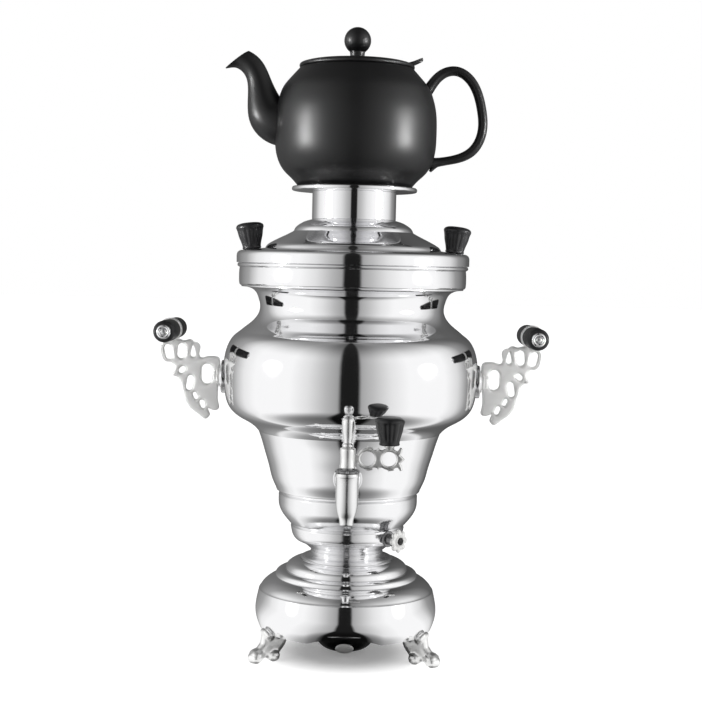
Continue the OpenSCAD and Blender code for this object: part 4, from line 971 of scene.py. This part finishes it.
def makeTapFlange(s):
    zTap = bottomOf("cone_shell") + s["rise"]
    wall = shellRadius("coneShell", zTap)
    outline = [(s["shankR"] + 0.1, wall - 12), (11.6, wall - 12), (11.9, wall - 1)] + smoothLine(
        [(11.9, wall + 0.2), (11.7, wall + 0.7), (10.9, wall + 1), (9.6, wall + 1.5), (8.5, wall + 2.8),
         (s["shankR"] + 0.1, wall + 3.4)], 0.4)
    flange = place(revolve("tapFlange", outline, 96), lying(0, 0, zTap, "X", 90))
    layOnShell(flange, "coneShell", 1, wall - 5)
    return flange


dress(makeTapBody(tapSet), steelSoft, "samovar", "polished_steel", "tap_body")
dress(makeTapCap(tapSet), steelDusk, "samovar", "polished_steel", "tap_cap")
dress(makeTapFlange(tapSet), steelCalm, "samovar", "polished_steel", "tap_flange")

keySet = dict(reach=32, ring=8.5, hole=0.66, thick=4, round=1.3, hubH=16.5, gap=3.4)
finialSet = dict(pinH=3.4, ring=[(3.4, 0), (4.5, 0.04), (4.5, 0.08), (3.5, 0.15)],
                 bud=[(3.5, 0.15), (3.6, 0.28), (4.5, 0.5), (5, 0.72), (4.8, 0.87), (3.9, 0.95), (2.2, 0.99),
                      (0, 1)])


def makeTapKey(s):
    # hub, and an openwork plate of two rings with leaves at the end and points between the rings
    zHub = bottomOf("tap_cap") + s["gap"] - 0.1
    zRings = zHub + s["hubH"] / 2
    r, far = s["ring"], s["reach"]
    near = far - 2 * r + 0.4

    def arc(cx, a0, a1, n=14):
        return [(cx + r * math.cos(math.radians(a)), r * math.sin(math.radians(a)))
                for a in np.linspace(a0, a1, n)]

    def point(x, z, out, half=1.5):
        side = 1 if z > 0 else -1
        slant = z + side * out * 0.75
        return [(x - half, z), (x - 0.4, slant), (x, z + side * out), (x + 0.4, slant), (x + half, z)]
    upper = [(0, 3.1), (near - r * 0.93, 3.1)] + arc(near, 158, 98, 7)
    upper += point(near, r, 1.4) + arc(near, 80, 52, 4)
    upper += [(near + r * 0.86, r * 0.84), ((near + far) / 2, r * 1.06), (far - r * 0.86, r * 0.84)]
    upper += arc(far, 128, 98, 4) + point(far, r, 1.2) + arc(far, 80, 52, 4)
    leaf = [(far + r * 0.78, r * 0.74), (far + r * 1.02, r * 1.08), (far + r * 1.22, r * 1.0),
            (far + r * 1.16, r * 0.62), (far + r * 1.02, r * 0.36), (far + r * 1.22, r * 0.2),
            (far + r * 1.4, 0)]
    right = upper + leaf
    outline = right + [(x, -z) for x, z in reversed(right[:-1])]
    plate = castPlate("keyPlate", [outline, ringOf(near, 0, r * s["hole"]), ringOf(far, 0, r * s["hole"])],
                      s["thick"], s["round"], standing(0, tapAxis, zRings))
    h = s["hubH"]
    hubLine = smoothLine([(5.6, zHub + 0.1), (6.1, zHub + 0.7), (6.2, zHub + 2), (6, zHub + 4)], 0.4)
    hubLine += smoothLine([(6, zHub + 4), (5.7, zRings), (6, zHub + h - 4), (6.1, zHub + h - 2.2),
                           (5.8, zHub + h - 0.7), (4.9, zHub + h)], 0.6)[1:]
    hub = place(revolve("keyHub", [(0, zHub)] + hubLine + [(0, zHub + h)], 72), standing(0, tapAxis, 0))
    post = zRings + r - 1.4
    postTop = post + 3.35
    neckLine = smoothLine([(2.2, post), (2.7, post + 1), (3.6, post + 2), (4.2, post + 2.8),
                           (4.1, postTop)], 0.3)
    neckLoop = [(0, post)] + neckLine + [(0, postTop)]
    neck = place(revolve("knobNeck", neckLoop, 56), standing(far, tapAxis, 0))
    return joined("tapKey", [plate, hub, neck])


def makeFinial(s):
    low, high = bottomOf("tap_finial") + s["pinH"], topOf("tap_finial")

    def at(line):
        # heights are shares of the finial's own height
        return [(r, low + (high - low) * share) for r, share in line]
    line = smoothLine(at(s["ring"]), 0.3) + smoothLine(at(s["bud"]), 0.4)[1:]
    return place(revolve("tapFinial", [(0, low)] + line, 72), standing(0, tapAxis, 0))


dress(makeTapKey(keySet), castBright, "tap_key", "cast_metal", "tap_key")
dress(makeFinial(finialSet), steelSoft, "tap_key", "polished_steel", "tap_finial")

# knobs: moulded, fluted, a little waisted
# ledge: the fall and the run of the lid's slope under a knob
knobSet = dict(height=22.5, footR=7.7, headR=11.7, flutes=12, depth=0.4, ledge=(2.2, 19.0), lift=0.2)


def makeKnob(name, matrix, s):
    h, f, d = s["height"], s["footR"], s["headR"]
    foot = smoothLine([(f - 0.5, 0), (f + 0.1, 0.35), (f + 0.3, 1), (f + 0.1, 1.7), (f, 2.2)], 0.3)
    waist = (f + d) / 2 + 0.5
    side = smoothLine([(f, 2.2), (f + 0.6, 5), (waist, 11.7), (d - 0.4, 17), (d - 0.1, 17.8)], 0.6)
    head = smoothLine([(d - 0.1, 17.8), (d, 18.8), (d - 0.5, 20.1), (d - 2, 21.3), (d * 0.6, 22.1),
                       (d * 0.25, 22.45), (0, h)], 0.5)
    knob = revolve(name, [(0, 0)] + foot + side[1:] + head[1:], 168, 60)
    knob = grown(knob, flutes, bakeliteBlack, {"Flutes": float(s["flutes"]), "Depth": s["depth"] * mm,
                                               "Low": 2.2 * mm, "High": 19.2 * mm}, name)
    smoothShade(knob, 60)
    return place(knob, matrix)


def knobPlaces(s):
    # the lid's knobs stand square on its sloping ledge, the tap's knob upright on its key
    slope = math.atan2(*s["ledge"])
    for side in (-1, 1):
        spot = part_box("lid_knob_left" if side < 0 else "lid_knob_right")
        middle = (spot[0] + spot[1]) / 2
        half = s["height"] * mm / 2
        turn = Matrix.Rotation(side * slope, 4, "Y")
        yield side, Matrix.Translation(middle) @ turn @ Matrix.Translation((0, 0, -half + s["lift"] * mm))


for side, matrix in knobPlaces(knobSet):
    word = "Left" if side < 0 else "Right"
    dress(makeKnob("lidKnob" + word, matrix, knobSet), bakeliteBlack, "lid", "black_bakelite",
          "lid_knob_" + word.lower())
dress(makeKnob("tapKnob", standing(keySet["reach"], tapAxis, bottomOf("tap_knob")), knobSet), bakeliteBlack,
      "tap_key", "black_bakelite", "tap_knob")
print("tap and knobs made")

# drain cock: a short pipe with a collar, and a flower-shaped key
drainSet = dict(angle=45, rise=14.6, length=12, pipe=4.6, petals=8, ringR=7, petalR=2.7, thick=3.4)


def drainMatrix(s, out):
    zDrain = bottomOf("bowl_shell") + s["rise"]
    turn = Matrix.Rotation(math.radians(s["angle"]), 4, "Z")
    return turn @ lying(0, -out, zDrain, "X", 90)


def makeDrain(s):
    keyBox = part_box("drain_key")
    corner = (keyBox[0] + keyBox[1]) / 2 / mm
    mid = math.hypot(corner.x, corner.y)
    key0 = mid - s["thick"] / 2 - 0.6
    wall = key0 - s["length"] - 0.3
    p = s["pipe"]
    line = [(0, -4), (p, -4), (p, 1)]
    line += smoothLine([(p, 1), (6.6, 1.4), (6.9, 2.3), (6.5, 3.2), (p, 3.6)], 0.3)[1:] + [(p, 8)]
    line += smoothLine([(p, 8), (5.6, 8.4), (5.8, 9.6), (5.6, 11.2), (4.9, 11.9)], 0.4)[1:] + [(0, 11.9)]
    stub = place(revolve("drainStub", line, 64), drainMatrix(s, wall))
    dress(stub, steelDusk, "samovar", "polished_steel", "drain_stub")
    disc = revolve("disc", [(0, -1.1), (6.9, -1.1), (7.4, 0), (6.9, 1.1), (5.4, 1.3), (4.4, 2), (4.1, 2.4),
                            (3.6, 2.5), (3.3, 2), (0, 2)], 64)
    flower = grown(disc, petals, castBright, {"Petals": s["petals"], "Ring radius": s["ringR"] * mm,
                                              "Petal radius": s["petalR"] * mm, "Thickness": s["thick"] * mm},
                   "drainKey")
    smoothShade(flower, 50)
    place(flower, drainMatrix(s, key0 + s["thick"] / 2))
    dress(flower, castPale, "drain_key", "cast_metal", "drain_key")
    spot = drainMatrix(s, key0 + s["thick"] / 2 + 2.4)
    way = spot.to_3x3() @ Vector((0, 0, 1))
    head = screwHeads("drainScrew", [(spot.translation, way)], 3.1, 1.1, 0.9)
    # painted shade: the screw head is near-black to darken the recess it sits in
    dress(head, screwPaintedShade, "drain_key", "polished_steel", "drain_screw")


makeDrain(drainSet)

# side handles
handleHeight = bottomOf("bulb_shell") + 44.5
rodR = 2.5
bracketSet = dict(flangeX=111.9, thick=7, round=2.1, boss=6.5, rise=39, eye=9.9, bore=2.6,
                  grip=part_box("grip_rod_right")[0].x / mm + rodR, outline=[
    (0, 0.385), (0.205, 0.436), (0.385, 0.41), (0.462, 0.667), (0.59, 0.795), (0.718, 0.769),
    (0.859, 0.808), (1, 0.756), (1.154, 0.718), (1.195, 0.513), (1.103, 0.321), (0.962, 0.282),
    (0.885, 0.154), (0.949, 0.013),
    (0.821, -0.051), (0.731, -0.256), (0.679, -0.513), (0.577, -0.692), (0.423, -0.821), (0.269, -0.936),
    (0.179, -0.846), (0.218, -0.705), (0.09, -0.744), (-0.005, -0.692), (0.026, -0.462), (0.005, 0)], slots=[
    (1.031, 0.513, 0.174, 0.338, -12), (0.77, 0.54, 0.185, 0.333, 4), (0.52, 0.546, 0.128, 0.277, 12),
    (0.246, 0.051, 0.245, 0.44, 0), (0.59, -0.152, 0.155, 0.335, 10), (0.477, -0.436, 0.097, 0.164, -25),
    (0.328, -0.615, 0.113, 0.195, -20), (0.749, 0.128, 0.123, 0.179, 50)])


def slotLine(x, z, w, h, lean, count=12):
    line = []
    for end, start in ((1, 0), (-1, math.pi)):
        for k in range(count + 1):
            a = start + math.pi * k / count
            line.append((w / 2 * math.cos(a), end * (h - w) / 2 + w / 2 * math.sin(a)))
    c, s_ = math.cos(math.radians(lean)), math.sin(math.radians(lean))
    return [(x + px * c - pz * s_, z + px * s_ + pz * c) for px, pz in line]


def makeBracket(side, s):
    span = s["grip"] - s["flangeX"]

    def at(x, z):
        return s["flangeX"] + x * span, z * s["rise"]
    outline = closedLine([at(x, z) for x, z in s["outline"]])
    holes = [slotLine(*at(x, z), w * s["rise"], h * s["rise"], lean) for x, z, w, h, lean in s["slots"]]
    mirror = Matrix.Scale(-1, 4, (1, 0, 0)) if side < 0 else Matrix.Identity(4)
    spot = mirror @ standing(0, 0, handleHeight)
    plate = castPlate("plate", [outline] + holes, s["thick"], s["round"], spot)
    half = s["thick"] / 2
    eyeLine = [(s["bore"], -half), (s["eye"] - 0.9, -half)] + smoothLine(
        [(s["eye"] - 0.9, -half), (s["eye"], -half + 1), (s["eye"] + 0.15, 0), (s["eye"], half - 1),
         (s["eye"] - 0.9, half)], 0.5)[1:] + [(s["bore"], half)]
    eye = place(revolve("eye", eyeLine, 72), mirror @ lying(s["grip"], 0, handleHeight + s["rise"], "X", 90))
    b = s["boss"]
    bossLine = [(0, 0.1), (b, 0.1), (b + 0.5, 0.7), (b + 0.5, 1.4), (b - 0.4, 2), (b - 0.4, 3.6),
                (b - 1.2, 4.6), (0, 4.9)]
    boss = place(revolve("boss", bossLine, 56), mirror @ lying(s["flangeX"], 0, handleHeight, "Y", 90))
    return joined("bracketLeft" if side < 0 else "bracketRight", [plate, eye, boss])


def makeFlange(side, s):
    f = s["flangeX"]
    outline = [(2.6, f - 9), (13.7, f - 9), (14, f - 4)] + smoothLine(
        [(14, f - 3.4), (13.9, f - 2.6), (13.2, f - 2), (12.2, f - 1.9)], 0.3) + smoothLine(
        [(12.2, f - 1.9), (11.6, f - 2.5), (10.9, f - 2.6), (10.2, f - 2.2), (9.4, f - 1.2), (8.4, f - 0.3),
         (7.4, f)], 0.4) + [(2.6, f)]
    flange = revolve("handleFlangeLeft" if side < 0 else "handleFlangeRight", outline, 96)
    place(flange, lying(0, 0, handleHeight, "Y", 90 * side))
    layOnShell(flange, "bulbShell", 0, f - 5)
    return flange


gripSet = dict(inner=3.6, outer=44.5, radius=9, bore=2.6, capR=6, capT=3)


def gripAxis(side, end):
    turn = 90 if end < 0 else -90
    return lying(bracketSet["grip"] * side, 0, handleHeight + bracketSet["rise"], "X", turn)


def makeGrip(name, side, end, s):
    a, b, r = s["inner"], s["outer"], s["radius"]
    line = smoothLine([(r - 0.9, a), (r - 0.1, a + 0.5), (r, a + 1.4), (r, a + 3)], 0.4)
    for spot in (a + 4.4, b - 7.6):
        line += smoothLine([(r, spot - 0.9), (r - 0.55, spot - 0.45), (r - 0.75, spot),
                            (r - 0.55, spot + 0.45), (r, spot + 0.9)], 0.2)
        if spot < 20:
            line += smoothLine([(r, spot + 1.5), (r + 0.3, (a + b) / 2), (r, b - 9.2)], 2.0)
    line += smoothLine([(r, b - 5.8), (r + 0.1, b - 3.4), (r - 0.3, b - 1.6), (r - 1.3, b - 0.4),
                        (r - 2.6, b)], 0.4)
    grip = revolve(name, [(s["bore"], a)] + line + [(s["bore"], b)], 80)
    return place(grip, gripAxis(side, end))


def makeGripCap(side, end, s):
    b, r, t_ = s["outer"] + 0.1, s["capR"], s["capT"]
    line = [(0, b), (r, b)] + smoothLine([(r, b + 0.6), (r - 0.1, b + 1.5), (r - 0.8, b + 2.4),
                                          (r - 1.7, b + t_ - 0.3), (r - 2.6, b + 2.3)], 0.3)
    line += [(r - 3, b + 1.9), (0, b + 1.9)]
    return place(revolve("cap", line, 64), gripAxis(side, end))


capScrews = []
caps = []
for side in (-1, 1):
    word = "left" if side < 0 else "right"
    dress(makeBracket(side, bracketSet), castPale, "samovar", "cast_metal", "bracket_" + word)
    dress(makeFlange(side, bracketSet), steelMirror, "samovar", "polished_steel", "handle_flange_" + word)
    for end, endWord in ((-1, "Front"), (1, "Rear")):
        grip = makeGrip("grip" + word.title() + endWord, side, end, gripSet)
        dress(grip, bakeliteBlack, "samovar", "black_bakelite", "grip_%s_%s" % (word, endWord.lower()))
        caps.append(makeGripCap(side, end, gripSet))
        capScrews.append((Vector((side * bracketSet["grip"], end * (gripSet["outer"] + 2), handleHeight
                                  + bracketSet["rise"])) * mm, Vector((0, end, 0))))
gripCaps = joined("gripCaps", caps)
dress(gripCaps, steelMirror, "samovar", "polished_steel", "grip_caps")
dress(screwHeads("gripScrews", capScrews, 2.5, 1.0), steelSatin, "samovar", "polished_steel")
print("handles made")

# CAD nodes that keep their shape
nodeMaterials = {
    "base_plate": steelSatin, "fire_tube": steelSatin, "grate": ironCast, "tap_gasket": rubberDark,
    "handle_seals": rubberDark}
for nodeName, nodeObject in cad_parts.items():
    nodeObject.data.materials.clear()
    nodeObject.data.materials.append(nodeMaterials.get(nodeName, steelMirror))

# studio: a white tent with a narrow dark gap at the front, a darker roof, and grey towards the back
# tones: degrees round from the front, and how bright the tent is there; the right side is darker at the back
studioSet = dict(tones=[(-180, 0.12), (-152, 0.2), (-128, 0.38), (-108, 0.85), (-92, 1.0), (-53, 1.0),
                        (-36, 0.8), (-20, 0.5), (-10, 0.36), (-7.5, 0.012), (7.5, 0.012), (10, 0.4),
                        (20, 0.54), (36, 0.82), (53, 1.0), (92, 1.0), (110, 0.75), (126, 0.32), (150, 0.12),
                        (180, 0.06)],
                 boost=1.06, roofFrom=0.4, roofFull=1.0, roofShare=0.24, roofBase=0.015,
                 # floor: its glow fades near the object as painted shadow; what metals see of it carries
                 # painted shade near the object and for steep rays, and a painted dark gap that widens for
                 # steep rays
                 floorSize=12.0, floorGlow=0.8, paintedShadowGlow=0.2, paintedShadowEdge=(0.032, 0.085),
                 paintedReflectionShade=0.05, paintedReflectionShadeEdge=(0.062, 0.074), steep=(0.6, 0.93), paintedSteepShade=0.34, paintedGapFlare=2.4)


def tentTone(tree, place, s, widen=None):
    # brightness of the tent by the direction round the object, from a point's or a ray's X and Y
    part = addNode(tree, "ShaderNodeSeparateXYZ", links={0: place})
    ahead = mathNode(tree, "MULTIPLY", part.outputs["Y"], -1.0)
    turn = mathNode(tree, "ARCTAN2", part.outputs["X"], ahead)
    if widen:
        turn = mathNode(tree, "DIVIDE", turn, widen)
    share = rangeNode(tree, "LINEAR", turn, -math.pi, math.pi)
    ramp = addNode(tree, "ShaderNodeValToRGB", links={0: share})
    stops = ramp.color_ramp.elements
    for i, (angle, tone) in enumerate(s["tones"]):
        spot = (angle + 180) / 360
        stop = stops[i] if i < 1 else (stops[-1] if i == len(s["tones"]) - 1 else stops.new(spot))
        stop.position = spot
        stop.color = (tone, tone, tone, 1)
    strong = addNode(tree, "ShaderNodeVectorMath", {"operation": "SCALE", "Scale": s["boost"]}, {0: ramp})
    return strong.outputs[0], part


def makeWorld(s):
    world = bpy.data.worlds.new("studio")
    bpy.context.scene.world = world
    world.use_nodes = True
    tree = world.node_tree
    tree.nodes.clear()
    way = addNode(tree, "ShaderNodeTexCoord").outputs["Generated"]
    tone, part = tentTone(tree, way, s)
    dim = addNode(tree, "ShaderNodeVectorMath", {"operation": "MULTIPLY_ADD", 1: (s["roofShare"],) * 3,
                                                 2: (s["roofBase"],) * 3}, {0: tone})
    above = rangeNode(tree, "SMOOTHSTEP", part.outputs["Z"], s["roofFrom"], s["roofFull"])
    tent = addNode(tree, "ShaderNodeMix", {"data_type": "RGBA"}, {0: above, 6: tone, 7: dim})
    rays = addNode(tree, "ShaderNodeLightPath")
    seen = addNode(tree, "ShaderNodeMix", {"data_type": "RGBA", 7: (1, 1, 1, 1)},
                   {0: rays.outputs["Is Camera Ray"], 6: tent.outputs[2]})
    back = addNode(tree, "ShaderNodeBackground", {"Strength": 1.0}, {"Color": seen.outputs[2]})
    addNode(tree, "ShaderNodeOutputWorld", links={"Surface": back})


def makeFloor(s):
    # white to the eye, with the object's shadow, deepened by a painted shadow where the glow is weaker near
    # the object; polished metal sees a painted reflection, the tent's lower edge glowing from the floor, with
    # painted shade near by and for steep rays
    size = s["floorSize"]
    floor = meshObject("floor", [(-size, -size, 0), (size, -size, 0), (size, size, 0), (-size, size, 0)],
                       [(0, 1, 2, 3)])
    paper = {"Base Color": linearColor("fafafa"), "Roughness": 0.8, "Specular IOR Level": 0.1}
    material, tree, bsdf = newMaterial("white paper floor, painted shadow and reflection", paper)
    place = addNode(tree, "ShaderNodeTexCoord").outputs["Object"]
    ray = addNode(tree, "ShaderNodeNewGeometry").outputs["Incoming"]
    rayParts = addNode(tree, "ShaderNodeSeparateXYZ", links={0: ray})
    # painted reflection: for steep rays the tent's dark gap is drawn wider on the floor
    widen = rangeNode(tree, "SMOOTHSTEP", rayParts.outputs["Z"], *s["steep"], 1.0, s["paintedGapFlare"])
    tone = tentTone(tree, place, s, widen)[0]
    far = addNode(tree, "ShaderNodeVectorMath", {"operation": "LENGTH"}, {0: place})
    # painted shade: what metals see of the floor is darkened close to the object, standing for the shade
    # there
    near = rangeNode(tree, "SMOOTHSTEP", far.outputs["Value"], *s["paintedReflectionShadeEdge"], s["paintedReflectionShade"], 1.0)
    # painted shade: rays coming steeply down see the floor darker, standing for the shade under the body
    down = rangeNode(tree, "SMOOTHSTEP", rayParts.outputs["Z"], *s["steep"], 1.0, s["paintedSteepShade"])
    both = mathNode(tree, "MULTIPLY", near, down)
    shade = addNode(tree, "ShaderNodeVectorMath", {"operation": "SCALE"}, {0: tone, "Scale": both})
    # painted reflection: metal and glass see this glow, the tent's tones drawn on the floor by direction from
    # the object
    paintedReflection = addNode(tree, "ShaderNodeEmission", {"Strength": 1.0}, {"Color": shade})
    rays = addNode(tree, "ShaderNodeLightPath")
    away = far.outputs["Value"]
    # painted shadow: the glow seen by the camera is weaker near the object, darkening the floor there beyond
    # its real shadow
    under = rangeNode(tree, "SMOOTHSTEP", away, *s["paintedShadowEdge"], s["paintedShadowGlow"], s["floorGlow"])
    glow = addNode(tree, "ShaderNodeEmission", {"Color": (1, 1, 1, 1)}, {"Strength": under})
    lit = addNode(tree, "ShaderNodeAddShader", links={0: bsdf, 1: glow})
    eye = addNode(tree, "ShaderNodeMixShader", links={0: rays.outputs["Is Camera Ray"], 1: bsdf,
                                                      2: lit})
    bright = mathNode(tree, "MAXIMUM", rays.outputs["Is Glossy Ray"], rays.outputs["Is Transmission Ray"])
    mix = addNode(tree, "ShaderNodeMixShader", links={0: bright, 1: eye, 2: paintedReflection})
    tree.links.new(mix.outputs[0], tree.nodes["Material Output"].inputs["Surface"])
    floor.data.materials.append(material)


softboxSet = dict(kind="AREA", angle=71, far=1.9, height=0.4, aim=0.4,
                  values=dict(shape="DISK", size=0.9, energy=4))
snootSet = dict(kind="SPOT", angle=74, far=1.9, height=0.5, aim=0.466,
                values=dict(energy=900, shadow_soft_size=0.2, spot_size=math.radians(6.0), spot_blend=0.7))


def lampPair(name, s):
    # a lamp on each side, aimed at a point on the axis
    lamps = []
    a = math.radians(s["angle"])
    for side in (-1, 1):
        data = bpy.data.lights.new(name, s["kind"])
        for key, value in s["values"].items():
            setattr(data, key, value)
        lamp = newObject(name, data)
        lamp.location = (side * s["far"] * math.sin(a), -s["far"] * math.cos(a), s["height"])
        look = Vector((0, 0, s["aim"])) - lamp.location
        lamp.rotation_euler = look.to_track_quat("-Z", "Y").to_euler()
        lamps.append(data)
    return lamps


def fadeToEdge(data):
    # brightest in the middle, fading out to the cloth's edge
    data.use_nodes = True
    tree = data.node_tree
    spot = addNode(tree, "ShaderNodeNewGeometry").outputs["Parametric"]
    off = addNode(tree, "ShaderNodeVectorMath", {"operation": "DISTANCE", 1: (0.5, 0.5, 0)}, {0: spot})
    fade = rangeNode(tree, "SMOOTHERSTEP", off.outputs["Value"], 0.04, 0.46, 1.0, 0.0)
    tree.links.new(fade.outputs[0], tree.nodes["Emission"].inputs["Strength"])


makeWorld(studioSet)
makeFloor(studioSet)
for softbox in lampPair("softbox", softboxSet):
    fadeToEdge(softbox)
# two narrow lamps that only reach the teapot and leave a soft round glow on its glaze
lampPair("snoot", snootSet)
bpy.context.scene.view_settings.view_transform = "Standard"
print("studio made")
